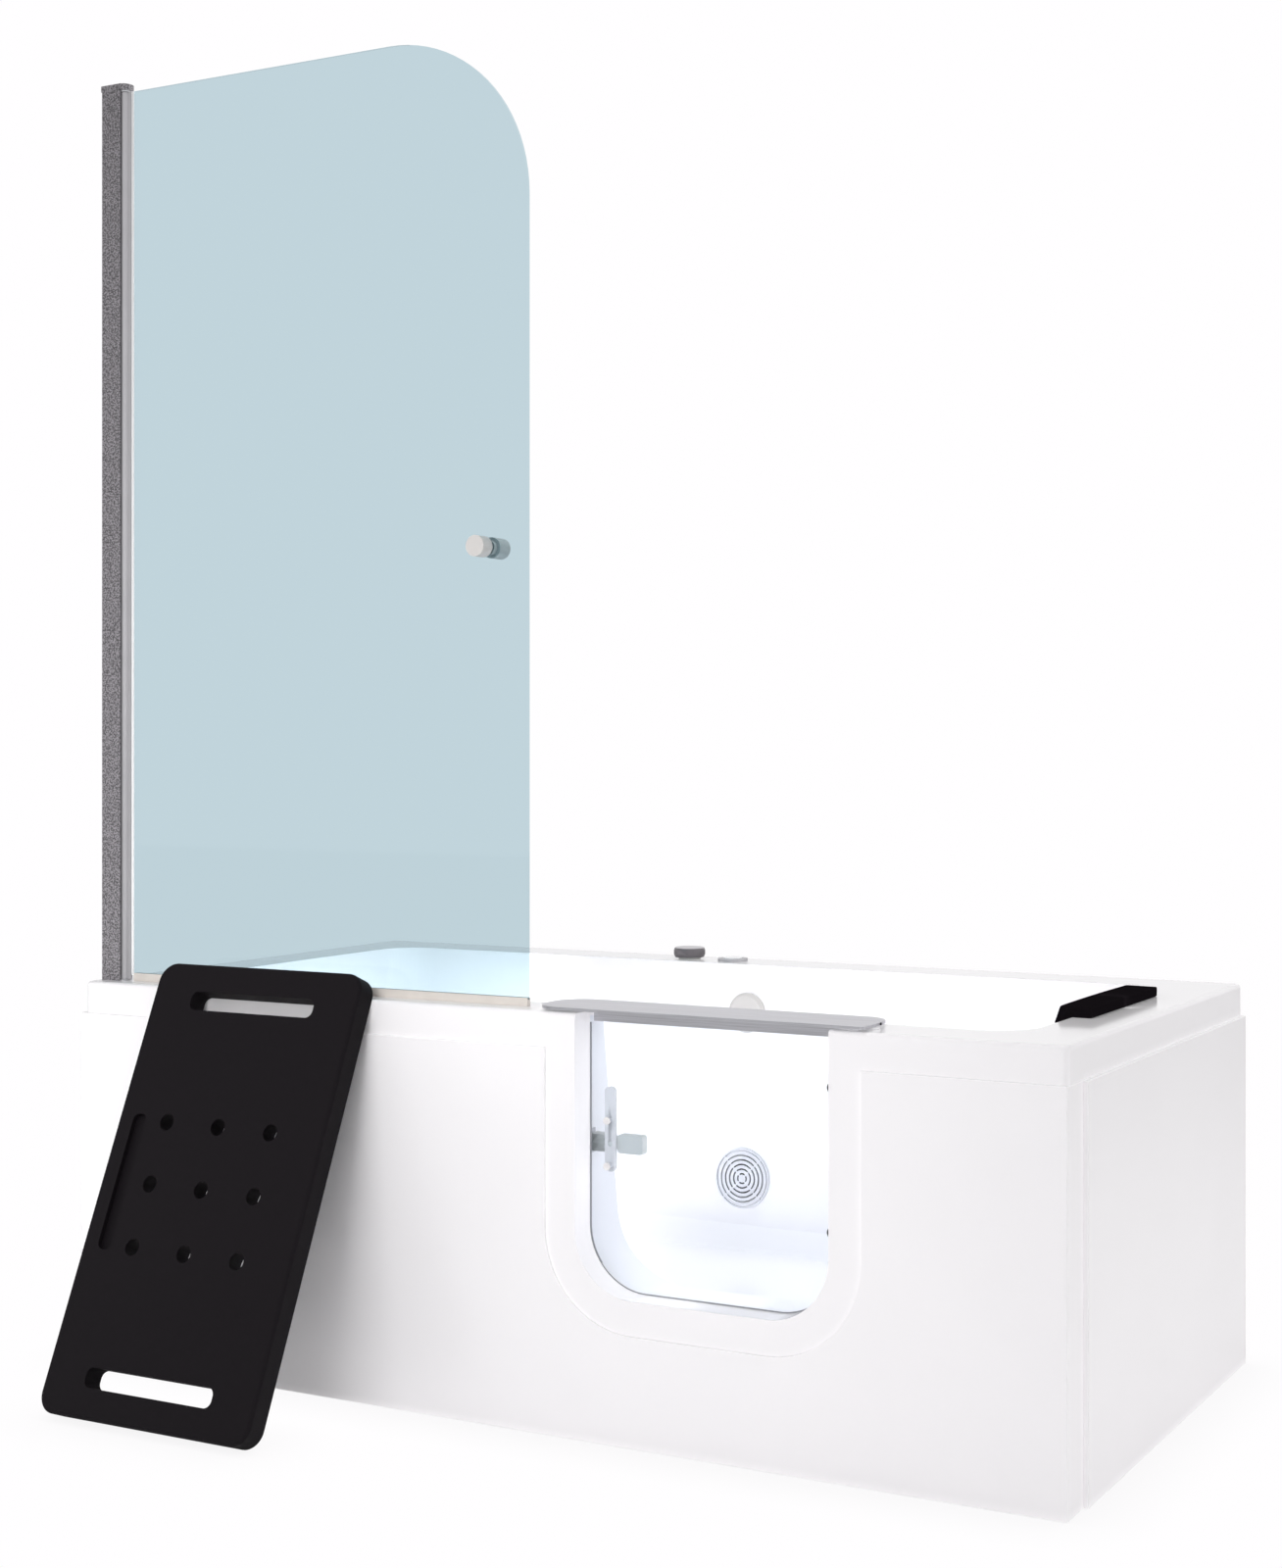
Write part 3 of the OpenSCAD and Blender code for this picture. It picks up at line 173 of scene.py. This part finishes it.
FINISHES: tuple[Finish, ...] = (
    # Vacuum formed acrylic sheet, polished on the seen side, with a painted highlight on its outer
    # edges and painted light in its inner corners.
    Finish("white_acrylic", "#f7f5f7", roughness=0.14, coat=0.06, specular=0.32,
           pattern=Pattern.MOTTLED, pattern_mm=180.0, contrast=0.004, relief_mm=0.05,
           edge_mm=2.5, painted_edge_highlight=0.11, painted_corner_light=0.15),
    # Cold galvanised steel tube and threaded rod.
    Finish("grey_galvanised", "#b4b7ba", roughness=0.42, metallic=1.0, pattern=Pattern.MOTTLED,
           pattern_mm=14.0, contrast=0.12, relief_mm=0.02),
    # Birch plywood under the glass fibre.
    Finish("birch_board", "#cbaa7c", roughness=0.72, pattern=Pattern.WOOD,
           pattern_mm=9.0, contrast=0.14, relief_mm=0.05, stretch=18.0),
    # Moulded black rubber.
    Finish("black_rubber", "#26262a", roughness=0.66, pattern=Pattern.GRAINED,
           pattern_mm=0.9, contrast=0.10, relief_mm=0.03),
    # Thermoplastic sealing lip; its upper faces are painted paler as painted light and its other
    # faces darker as painted shade.
    Finish("grey_seal", "#8f9196", roughness=0.55, pattern=Pattern.GRAINED,
           pattern_mm=0.8, contrast=0.06, relief_mm=0.02, top="#dcdde0"),
    # Milky clear glazing strip.
    Finish("clear_seal", "#f4f5f6", roughness=0.30, pattern=Pattern.MOTTLED,
           pattern_mm=20.0, contrast=0.01, relief_mm=0.02),
    # Extruded lip seal, slightly yellowed.
    Finish("beige_seal", "#dfd8d1", roughness=0.38, pattern=Pattern.MOTTLED,
           pattern_mm=30.0, contrast=0.03, relief_mm=0.02),
    # Clear toughened glass with a faint blue cast.
    Finish("door_glass", "#f3f9ff", roughness=0.02, clarity=Clarity.CLEAR, gloss=0.02),
    # Toughened glass with a blue green cast.
    Finish("screen_glass", "#c0d4db", roughness=0.02, clarity=Clarity.CLEAR, gloss=0.015),
    # Anodised aluminium, satin, drawn along the rail, with a painted highlight on its edges.
    Finish("satin_aluminium", "#bfbfc4", roughness=0.36, metallic=1.0, pattern=Pattern.BRUSHED,
           pattern_mm=1.6, contrast=0.14, relief_mm=0.006, stretch=80.0,
           edge_mm=0.8, painted_edge_highlight=0.10),
    # Aluminium extrusion with a dark, coarse powder finish.
    Finish("grained_aluminium", "#7e7b7f", roughness=0.52, metallic=0.2, pattern=Pattern.GRAINED,
           pattern_mm=2.8, contrast=0.60, relief_mm=0.05, sharp=0.06),
    # Plated brass and aluminium, softened by the wide lamps.
    Finish("polished_chrome", "#bab9bc", roughness=0.42, metallic=0.6, pattern=Pattern.MOTTLED,
           pattern_mm=60.0, contrast=0.02, relief_mm=0.004),
    # Stainless steel, lightly brushed.
    Finish("stainless", "#bdbec1", roughness=0.30, metallic=1.0, pattern=Pattern.BRUSHED,
           pattern_mm=0.5, contrast=0.06, relief_mm=0.004, stretch=30.0, axis=2),
    # Lacquered metal turning knob; its upward end is painted paler as a painted highlight from
    # above.
    Finish("dark_knob", "#6b676a", roughness=0.38, metallic=0.4, pattern=Pattern.BRUSHED,
           pattern_mm=0.6, contrast=0.05, relief_mm=0.004, stretch=20.0, top="#c4c1c4"),
    # Injection moulded white plastic.
    Finish("white_plastic", "#f6f6f8", roughness=0.22, coat=0.15, pattern=Pattern.MOTTLED,
           pattern_mm=40.0, contrast=0.006, relief_mm=0.01),
    # Injection moulded white plastic, spark eroded and slightly greyed, with a painted highlight
    # on its edges.
    Finish("satin_white", "#cac7c5", roughness=0.36, pattern=Pattern.MOTTLED,
           pattern_mm=24.0, contrast=0.01, relief_mm=0.01, edge_mm=0.8, painted_edge_highlight=0.08),
    # Thin chrome over a pale casting.
    Finish("pale_chrome", "#dadbdf", roughness=0.30, metallic=0.6, pattern=Pattern.MOTTLED,
           pattern_mm=30.0, contrast=0.02, relief_mm=0.004),
    # Injection moulded grey plastic, spark eroded.
    Finish("grey_plastic", "#cbcbc7", roughness=0.42, pattern=Pattern.GRAINED,
           pattern_mm=0.7, contrast=0.05, relief_mm=0.015),
    # Pale grey translucent plastic.
    Finish("pale_plastic", "#dfdcdc", roughness=0.26, coat=0.1, pattern=Pattern.MOTTLED,
           pattern_mm=18.0, contrast=0.02, relief_mm=0.01),
    # Integral skin polyurethane foam.
    Finish("black_foam", "#161316", roughness=0.90, specular=0.0, pattern=Pattern.GRAINED,
           pattern_mm=1.1, contrast=0.16, relief_mm=0.05),
    # Moulded board with a fine leather grain.
    Finish("black_plastic", "#141114", roughness=0.60, specular=0.08, pattern=Pattern.GRAINED,
           pattern_mm=1.6, contrast=0.12, relief_mm=0.05),
)


@dataclass(frozen=True)
class View:
    """The camera that the photograph was taken with.

    Attributes:
        place: Where it stands.
        turn_deg: Its turn to the left about the upright axis; it is level.
        lens_mm: Focal length for a 36 mm sensor on the long side.
        shift: Offset of the frame from the optical axis, in frame heights.
    """

    place: Point = (1.82429, -3.22013, 1.01993)
    turn_deg: float = 27.76
    lens_mm: float = 51.672
    shift: tuple[float, float] = (-0.0569, -0.02883)


@dataclass(frozen=True)
class Lamp:
    """A rectangular soft box.

    Attributes:
        name: Name of the light.
        place: Middle of the box.
        target: The point that it faces.
        size: Width and height.
        watts: Power.
    """

    name: str
    place: Point
    target: Point
    size: tuple[float, float]
    watts: float


@dataclass(frozen=True)
class Studio:
    """Background, floor and lights.

    Attributes:
        backdrop: Colour that the camera sees behind the object.
        ambient: Strength of the even light from all round.
        floor: Colour of the floor.
        floor_glow: Light that the floor gives back from below, as a share of white.
        shade_depth: Depth of the painted contact shadow, by which the floor darkens where the
            object touches it.
        shade_reach: How far that painted shadow reaches.
        lamps: The soft boxes. Those named basin, lining and doorway stand inside
            the bath and stay in place when the door or the screen moves.
    """

    backdrop: str = "#fffeff"
    ambient: float = 0.25
    floor: str = "#f4f3f4"
    floor_glow: float = 0.164
    shade_depth: float = 0.10
    shade_reach: float = 0.12
    lamps: tuple[Lamp, ...] = (
        Lamp("key", (-2.9, -3.6, 2.6), (-0.2, -0.4, 0.5), (1.6, 1.6), 5.0),
        Lamp("fill", (1.6, -4.6, 0.9), (-0.4, -0.4, 0.3), (2.4, 1.6), 36.5),
        Lamp("near", (-0.15, -1.7, 1.35), (-0.15, -0.42, 0.45), (0.9, 0.7), 10.8),
        Lamp("left", (-1.35, -0.95, 0.35), (-0.80, -0.42, 0.38), (0.3, 0.6), 2.5),
        Lamp("side", (4.2, 0.8, 1.2), (0.85, 0.0, 0.3), (2.2, 1.6), 49.0),
        Lamp("top", (0.2, 0.3, 3.4), (0.2, 0.2, 0.6), (2.4, 1.6), 42.5),
        Lamp("basin_foot", (-0.35, 0.0, 0.50), (-0.75, 0.1, 0.25), (0.40, 0.30), 1.55),
        Lamp("basin_head", (0.40, 0.0, 0.58), (0.40, 0.33, 0.50), (0.80, 0.15), 0.6),
        Lamp("basin_down", (0.1, 0.0, 0.60), (0.1, 0.0, 0.2), (1.10, 0.50), 0.5),
        Lamp("basin_up", (-0.3, 0.0, 0.17), (-0.3, 0.0, 0.6), (0.90, 0.40), 0.9),
        Lamp("lining", (0.36, -0.33, 0.40), (0.08, -0.34, 0.40), (0.04, 0.35), 0.1),
        Lamp("doorway", (0.30, -0.405, 0.43), (0.10, -0.405, 0.43), (0.04, 0.35), 0.2),
    )


@dataclass(frozen=True)
class Cushion:
    """The headrest, a wedge that sits on the rim at the head end.

    Attributes:
        near: Its end towards the doorway, along Y.
        far: Its end towards the wall, along Y.
        profile: Cross-section as (x, z) points, clockwise from the ledge's outer foot.
        round_mm: Rounding of its long edges.
        crown_mm: How much the middle of its top stands above its ends.
        tuck_mm: How far both ends are drawn in.
        stations: Number of cross-sections along it.
    """

    near: float = -0.135
    far: float = 0.179
    profile: tuple[tuple[float, float], ...] = (
        (0.7850, 0.6204),
        (0.7850, 0.6355),
        (0.7350, 0.6362),
        (0.7262, 0.6095),
        (0.7530, 0.6204),
    )
    round_mm: float = 2.6
    crown_mm: float = 0.9
    tuck_mm: float = 1.6
    stations: int = 28


@dataclass
class Scene:
    """Sizes and choices of the whole picture."""

    view: View = field(default_factory=View)
    studio: Studio = field(default_factory=Studio)
    cushion: Cushion = field(default_factory=Cushion)
    finishes: Sequence[Finish] = FINISHES


def linear_colour(code: str) -> Colour:
    """Turns an sRGB hex string into linear colour.

    Args:
        code: A string such as "#a0b0c0".

    Returns:
        Red, green, blue and an alpha of 1.
    """
    values = []
    for start in (1, 3, 5):
        part = int(code[start:start + 2], 16) / 255.0
        values.append(part / 12.92 if part <= 0.04045 else ((part + 0.055) / 1.055) ** 2.4)
    return (values[0], values[1], values[2], 1.0)


def add_node(tree: bpy.types.NodeTree, kind: str, **sockets: object) -> bpy.types.Node:
    """Adds a shader node and sets its inputs.

    Args:
        tree: The node tree.
        kind: The node's type name.
        **sockets: Input names with underscores for spaces. A socket of another
            node is linked, anything else becomes the input's value. A name that
            is no input is set as a property.

    Returns:
        The new node.
    """
    node = tree.nodes.new(kind)
    for name, value in sockets.items():
        label = name.replace("_", " ")
        if label not in node.inputs:
            setattr(node, name, value)
        elif isinstance(value, bpy.types.NodeSocket):
            tree.links.new(value, node.inputs[label])
        else:
            node.inputs[label].default_value = value
    return node


class FinishShop:
    """Makes one material for each finish and puts it on pieces."""

    def __init__(self, finishes: Sequence[Finish]) -> None:
        """Builds all materials.

        Args:
            finishes: The finishes, one for each slot.
        """
        self.materials = {finish.slot: self._build(finish) for finish in finishes}

    def _build(self, finish: Finish) -> bpy.types.Material:
        """Makes the material of one finish.

        Args:
            finish: The finish.

        Returns:
            The material.
        """
        material = bpy.data.materials.new(finish.slot)
        material.use_nodes = True
        tree = material.node_tree
        tree.nodes.clear()
        output = add_node(tree, "ShaderNodeOutputMaterial")
        if finish.clarity is Clarity.CLEAR:
            surface = self._clear(tree, finish)
        else:
            surface = self._opaque(tree, finish)
        tree.links.new(surface, output.inputs["Surface"])
        LOG.info("finish %s: %s, roughness %.2f", finish.slot, finish.pattern.value,
                 finish.roughness)
        return material

    def _opaque(self, tree: bpy.types.NodeTree, finish: Finish) -> bpy.types.NodeSocket:
        """Shader of a solid finish with its fine structure.

        Args:
            tree: The node tree.
            finish: The finish.

        Returns:
            The shader socket.
        """
        colour = linear_colour(finish.colour)
        body = add_node(tree, "ShaderNodeBsdfPrincipled", Roughness=finish.roughness,
                        Metallic=finish.metallic)
        body.inputs["Base Color"].default_value = colour
        body.inputs["Coat Weight"].default_value = finish.coat
        body.inputs["Coat Roughness"].default_value = COAT_ROUGHNESS
        body.inputs["Specular IOR Level"].default_value = finish.specular
        if finish.pattern is Pattern.PLAIN:
            return body.outputs["BSDF"]
        height = self._structure(tree, finish)
        low = tuple(c * (1.0 - finish.contrast) for c in colour[:3]) + (1.0,)
        high = tuple(min(1.0, c * (1.0 + finish.contrast)) for c in colour[:3]) + (1.0,)
        ramp = add_node(tree, "ShaderNodeValToRGB", Fac=height)
        ramp.color_ramp.elements[0].position = 0.5 - finish.sharp
        ramp.color_ramp.elements[0].color = low
        ramp.color_ramp.elements[1].position = 0.5 + finish.sharp
        ramp.color_ramp.elements[1].color = high
        # Painted light: faces that look up get the paler top colour.
        tint = self._paint_top_light(tree, finish, ramp) if finish.top else ramp.outputs["Color"]
        tree.links.new(tint, body.inputs["Base Color"])
        bump = add_node(tree, "ShaderNodeBump", Height=height, Strength=1.0)
        bump.inputs["Distance"].default_value = finish.relief_mm / MM_PER_M
        tree.links.new(bump.outputs["Normal"], body.inputs["Normal"])
        # Painted highlight on the outer edges and painted light in the inner corners.
        if finish.edge_mm > 0.0:
            self._soften_edges_and_paint_light(tree, finish, body, bump)
        return body.outputs["BSDF"]

    def _paint_top_light(self, tree: bpy.types.NodeTree, finish: Finish,
                  ramp: bpy.types.Node) -> bpy.types.NodeSocket:
        """Painted light: a paler colour on faces that look up, standing in for light from above on
        them.

        Args:
            tree: The node tree.
            finish: The finish.
            ramp: The node with the colour of the other faces.

        Returns:
            The colour socket.
        """
        facing = add_node(tree, "ShaderNodeNewGeometry")
        parts = add_node(tree, "ShaderNodeSeparateXYZ", Vector=facing.outputs["Normal"])
        upward = add_node(tree, "ShaderNodeMath", operation="GREATER_THAN")
        tree.links.new(parts.outputs["Z"], upward.inputs[0])
        upward.inputs[1].default_value = UPWARD_Z
        mix = add_node(tree, "ShaderNodeMixRGB", Fac=upward.outputs["Value"],
                       Color1=ramp.outputs["Color"], Color2=linear_colour(finish.top))
        return mix.outputs["Color"]

    def _soften_edges_and_paint_light(self, tree: bpy.types.NodeTree, finish: Finish, body: bpy.types.Node,
                      bump: bpy.types.Node) -> None:
        """Rounds the edges for the light, and paints light on: a painted highlight on the outer
        edges and painted light in the inner corners, both as emission.
            finish: The finish.
            body: The surface shader.
            bump: The node with the fine structure.
        """
        soft = add_node(tree, "ShaderNodeBevel", samples=BEVEL_SAMPLES,
                        Radius=finish.edge_mm / MM_PER_M)
        tree.links.new(soft.outputs["Normal"], bump.inputs["Normal"])
        inner = add_node(tree, "ShaderNodeAmbientOcclusion", inside=True, only_local=True,
                         samples=OCCLUSION_SAMPLES, Distance=finish.edge_mm / MM_PER_M)
        # Painted highlight: white emission on the outer edges, from the share of inner rays that
        # get out.
        edge = add_node(tree, "ShaderNodeMath", operation="MULTIPLY_ADD")
        tree.links.new(inner.outputs["AO"], edge.inputs[0])
        edge.inputs[1].default_value = -PAINTED_HIGHLIGHT_GAIN * finish.painted_edge_highlight
        edge.inputs[2].default_value = PAINTED_HIGHLIGHT_GAIN * finish.painted_edge_highlight
        # Painted light in the inner corners: emission where the outer rays are blocked, lightening
        # the shade there.
        outer = add_node(tree, "ShaderNodeAmbientOcclusion", samples=OCCLUSION_SAMPLES,
                         Distance=PAINTED_CORNER_REACH)
        crevice = add_node(tree, "ShaderNodeMath", operation="MULTIPLY_ADD")
        tree.links.new(outer.outputs["AO"], crevice.inputs[0])
        crevice.inputs[1].default_value = -finish.painted_corner_light
        crevice.inputs[2].default_value = finish.painted_corner_light
        both = add_node(tree, "ShaderNodeMath", operation="ADD")
        tree.links.new(edge.outputs["Value"], both.inputs[0])
        tree.links.new(crevice.outputs["Value"], both.inputs[1])
        # The painted highlight and the painted corner light go into the surface as white emission.
        body.inputs["Emission Color"].default_value = WHITE
        tree.links.new(both.outputs["Value"], body.inputs["Emission Strength"])

    def _structure(self, tree: bpy.types.NodeTree, finish: Finish) -> bpy.types.NodeSocket:
        """Height of the fine structure from 0 to 1, in true size.

        Args:
            tree: The node tree.
            finish: The finish.

        Returns:
            The height socket.
        """
        place = add_node(tree, "ShaderNodeTexCoord")
        scale = [MM_PER_M / finish.pattern_mm] * 3
        scale[finish.axis] /= finish.stretch
        fit = add_node(tree, "ShaderNodeMapping", Vector=place.outputs["Object"],
                       Scale=tuple(scale))
        noise = add_node(tree, "ShaderNodeTexNoise", Vector=fit.outputs["Vector"],
                         Scale=1.0, Detail=NOISE_DETAIL[finish.pattern],
                         Roughness=NOISE_ROUGHNESS)
        return noise.outputs["Fac"]

    def _clear(self, tree: bpy.types.NodeTree, finish: Finish) -> bpy.types.NodeSocket:
        """Shader of a clear sheet: a tint each way in and out, and a weak mirror image.

        Args:
            tree: The node tree.
            finish: The finish.

        Returns:
            The shader socket.
        """
        tint = tuple(math.sqrt(c) for c in linear_colour(finish.colour)[:3]) + (1.0,)
        through = add_node(tree, "ShaderNodeBsdfTransparent", Color=tint)
        mirror = add_node(tree, "ShaderNodeBsdfGlossy", Roughness=finish.roughness,
                          Color=WHITE)
        facing = add_node(tree, "ShaderNodeLayerWeight", Blend=0.5)
        power = add_node(tree, "ShaderNodeMath", operation="POWER")
        tree.links.new(facing.outputs["Facing"], power.inputs[0])
        power.inputs[1].default_value = GRAZING_POWER
        weight = add_node(tree, "ShaderNodeMath", operation="MULTIPLY_ADD")
        tree.links.new(power.outputs["Value"], weight.inputs[0])
        weight.inputs[1].default_value = 1.0 - finish.gloss
        weight.inputs[2].default_value = finish.gloss
        mix = add_node(tree, "ShaderNodeMixShader")
        tree.links.new(weight.outputs["Value"], mix.inputs[0])
        tree.links.new(through.outputs["BSDF"], mix.inputs[1])
        tree.links.new(mirror.outputs["BSDF"], mix.inputs[2])
        return mix.outputs["Shader"]

    def dress(self, piece: bpy.types.Object, slot: str) -> None:
        """Puts a slot's material on every face of a piece.

        Args:
            piece: The mesh object.
            slot: The material slot's name.
        """
        if not piece.material_slots:
            piece.data.materials.append(None)
        for holder in piece.material_slots:
            holder.material = self.materials[slot]


class CushionMaker:
    """Models the headrest."""

    def __init__(self, cushion: Cushion) -> None:
        """Keeps the sizes.

        Args:
            cushion: The headrest's sizes.
        """
        self.cushion = cushion

    def _rounded_profile(self, grow: float) -> list[tuple[float, float]]:
        """Cross-section with rounded corners.

        Args:
            grow: How far the points move away from the middle; negative draws them in.

        Returns:
            The points as (x, z).
        """
        points = self.cushion.profile
        count = len(points)
        middle = (sum(p[0] for p in points) / count, sum(p[1] for p in points) / count)
        radius = self.cushion.round_mm / MM_PER_M
        result: list[tuple[float, float]] = []
        for index, point in enumerate(points):
            before = Vector(points[index - 1]) - Vector(point)
            after = Vector(points[(index + 1) % count]) - Vector(point)
            reach = min(radius, before.length * CORNER_SHARE, after.length * CORNER_SHARE)
            start = Vector(point) + before.normalized() * reach
            end = Vector(point) + after.normalized() * reach
            for step in range(CORNER_STEPS + 1):
                t = step / CORNER_STEPS
                spot = start * (1 - t) ** 2 + Vector(point) * 2 * t * (1 - t) + end * t * t
                result.append((spot.x, spot.y))
        foot_z = self.cushion.profile[0][1] + FOOT_RISE
        foot_x = self.cushion.profile[-1][0] - FOOT_SIDE
        moved = []
        for x, z in result:
            toward = Vector((x - middle[0], z - middle[1]))
            away = toward.normalized() * grow
            foot = z < foot_z and x > foot_x
            moved.append((x + away.x, z if foot else z + away.y))
        return moved

    def build(self) -> bpy.types.Object:
        """Makes the headrest's mesh.

        Returns:
            The object, in place.
        """
        size = self.cushion
        mesh = bpy.data.meshes.new("headrest_cushion")
        shape = bmesh.new()
        rings = []
        length = size.far - size.near
        for station in range(size.stations + 1):
            along = 0.5 - 0.5 * math.cos(math.pi * station / size.stations)
            edge = min(along, 1.0 - along) * length
            drawn = max(0.0, 1.0 - edge / TUCK_REACH) ** 2 * size.tuck_mm / MM_PER_M
            swell = math.sin(math.pi * along) * size.crown_mm / MM_PER_M
            ring = []
            for x, z in self._rounded_profile(-drawn):
                lift = swell if z > TOP_Z else 0.0
                ring.append(shape.verts.new((x, size.near + along * length, z + lift)))
            rings.append(ring)
        for first, second in zip(rings, rings[1:]):
            for index in range(len(first)):
                following = (index + 1) % len(first)
                shape.faces.new((first[index], first[following], second[following], second[index]))
        shape.faces.new(list(reversed(rings[0])))
        shape.faces.new(rings[-1])
        bmesh.ops.recalc_face_normals(shape, faces=shape.faces)
        shape.to_mesh(mesh)
        shape.free()
        piece = bpy.data.objects.new("headrest_cushion", mesh)
        bpy.context.collection.objects.link(piece)
        for face in mesh.polygons:
            face.use_smooth = len(face.vertices) == 4
        LOG.info("headrest: %d vertices", len(mesh.vertices))
        return piece


class StudioBuilder:
    """Sets up camera, background, floor and lights."""

    def __init__(self, view: View, studio: Studio) -> None:
        """Keeps the settings.

        Args:
            view: The camera.
            studio: The surroundings.
        """
        self.view = view
        self.studio = studio

    def camera(self) -> None:
        """Adds the photograph's camera."""
        data = bpy.data.cameras.new("photo_camera")
        data.lens = self.view.lens_mm
        data.sensor_width = SENSOR_MM
        data.shift_x, data.shift_y = self.view.shift
        data.clip_end = SIGHT
        data.dof.use_dof = False
        holder = bpy.data.objects.new("photo_camera", data)
        holder.location = self.view.place
        holder.rotation_euler = (math.radians(90.0), 0.0, math.radians(self.view.turn_deg))
        bpy.context.collection.objects.link(holder)
        bpy.context.scene.camera = holder

    def world(self) -> None:
        """Adds a white background that lights the object only softly."""
        world = bpy.data.worlds.new("studio")
        bpy.context.scene.world = world
        world.use_nodes = True
        tree = world.node_tree
        tree.nodes.clear()
        rays = add_node(tree, "ShaderNodeLightPath")
        first = add_node(tree, "ShaderNodeMath", operation="MAXIMUM")
        tree.links.new(rays.outputs["Is Camera Ray"], first.inputs[0])
        tree.links.new(rays.outputs["Is Glossy Ray"], first.inputs[1])
        seen = add_node(tree, "ShaderNodeMath", operation="MAXIMUM")
        tree.links.new(first.outputs["Value"], seen.inputs[0])
        tree.links.new(rays.outputs["Is Transmission Ray"], seen.inputs[1])
        soft = add_node(tree, "ShaderNodeBackground", Strength=self.studio.ambient,
                        Color=WHITE)
        white = add_node(tree, "ShaderNodeBackground", Strength=BACKDROP_STRENGTH,
                         Color=linear_colour(self.studio.backdrop))
        mix = add_node(tree, "ShaderNodeMixShader")
        tree.links.new(seen.outputs["Value"], mix.inputs[0])
        tree.links.new(soft.outputs["Background"], mix.inputs[1])
        tree.links.new(white.outputs["Background"], mix.inputs[2])
        output = add_node(tree, "ShaderNodeOutputWorld")
        tree.links.new(mix.outputs["Shader"], output.inputs["Surface"])

    def floor(self) -> None:
        """Adds a plain pale floor that isn't part of the object, with a painted contact shadow
        around it.
        """
        mesh = bpy.data.meshes.new("floor")
        around = ((-1, -1), (1, -1), (1, 1), (-1, 1))
        corners = [(x * FLOOR_HALF, y * FLOOR_HALF, 0.0) for x, y in around]
        mesh.from_pydata(corners, [], [(0, 1, 2, 3)])
        floor = bpy.data.objects.new("floor", mesh)
        bpy.context.collection.objects.link(floor)
        material = bpy.data.materials.new("floor")
        material.use_nodes = True
        tree = material.node_tree
        tree.nodes.clear()
        matt = add_node(tree, "ShaderNodeBsdfDiffuse", Color=linear_colour(self.studio.floor))
        glow = add_node(tree, "ShaderNodeEmission", Color=WHITE,
                        Strength=self.studio.floor_glow)
        both = add_node(tree, "ShaderNodeAddShader")
        tree.links.new(matt.outputs["BSDF"], both.inputs[0])
        tree.links.new(glow.outputs["Emission"], both.inputs[1])
        # Painted contact shadow: to the camera the floor is backdrop white, darkened by ambient
        # occlusion near the object.
        near = add_node(tree, "ShaderNodeAmbientOcclusion", samples=FLOOR_SAMPLES,
                        Distance=self.studio.shade_reach)
        shade = add_node(tree, "ShaderNodeMath", operation="MULTIPLY_ADD")
        tree.links.new(near.outputs["AO"], shade.inputs[0])
        shade.inputs[1].default_value = self.studio.shade_depth
        shade.inputs[2].default_value = 1.0 - self.studio.shade_depth
        paper = add_node(tree, "ShaderNodeEmission", Color=linear_colour(self.studio.backdrop),
                         Strength=shade.outputs["Value"])
        rays = add_node(tree, "ShaderNodeLightPath")
        mix = add_node(tree, "ShaderNodeMixShader")
        tree.links.new(rays.outputs["Is Camera Ray"], mix.inputs[0])
        tree.links.new(both.outputs["Shader"], mix.inputs[1])
        tree.links.new(paper.outputs["Emission"], mix.inputs[2])
        output = add_node(tree, "ShaderNodeOutputMaterial")
        tree.links.new(mix.outputs["Shader"], output.inputs["Surface"])
        mesh.materials.append(material)

    def lamps(self) -> None:
        """Adds the soft boxes."""
        for lamp in self.studio.lamps:
            data = bpy.data.lights.new(lamp.name, "AREA")
            data.shape = "RECTANGLE"
            data.size, data.size_y = lamp.size
            data.energy = lamp.watts
            holder = bpy.data.objects.new(lamp.name, data)
            holder.location = lamp.place
            aim = Vector(lamp.target) - Vector(lamp.place)
            holder.rotation_euler = aim.to_track_quat("-Z", "Y").to_euler()
            holder.visible_camera = False
            holder.visible_glossy = False
            holder.visible_transmission = False
            bpy.context.collection.objects.link(holder)
            LOG.info("lamp %s: %.2f W", lamp.name, lamp.watts)

    def build(self) -> None:
        """Builds everything around the object."""
        self.camera()
        self.world()
        self.floor()
        self.lamps()
        bpy.context.scene.view_settings.view_transform = "Standard"


def main() -> None:
    """Builds the picture."""
    logging.basicConfig(level=logging.INFO, format="%(name)s: %(message)s")
    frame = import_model()
    settings = Scene()
    StudioBuilder(settings.view, settings.studio).build()
    shop = FinishShop(settings.finishes)
    slots = {part["node"]: part["material_slot"] for part in frame["record"]["subparts"]}
    for name, piece in frame["nodes"].items():
        shop.dress(piece, slots[name])
        LOG.info("piece %s: %s", name, slots[name])
    cushion = CushionMaker(settings.cushion).build()
    shop.dress(cushion, "black_foam")
    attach(cushion, "rest")
    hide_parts("headrest")


if __name__ == "__main__":
    main()
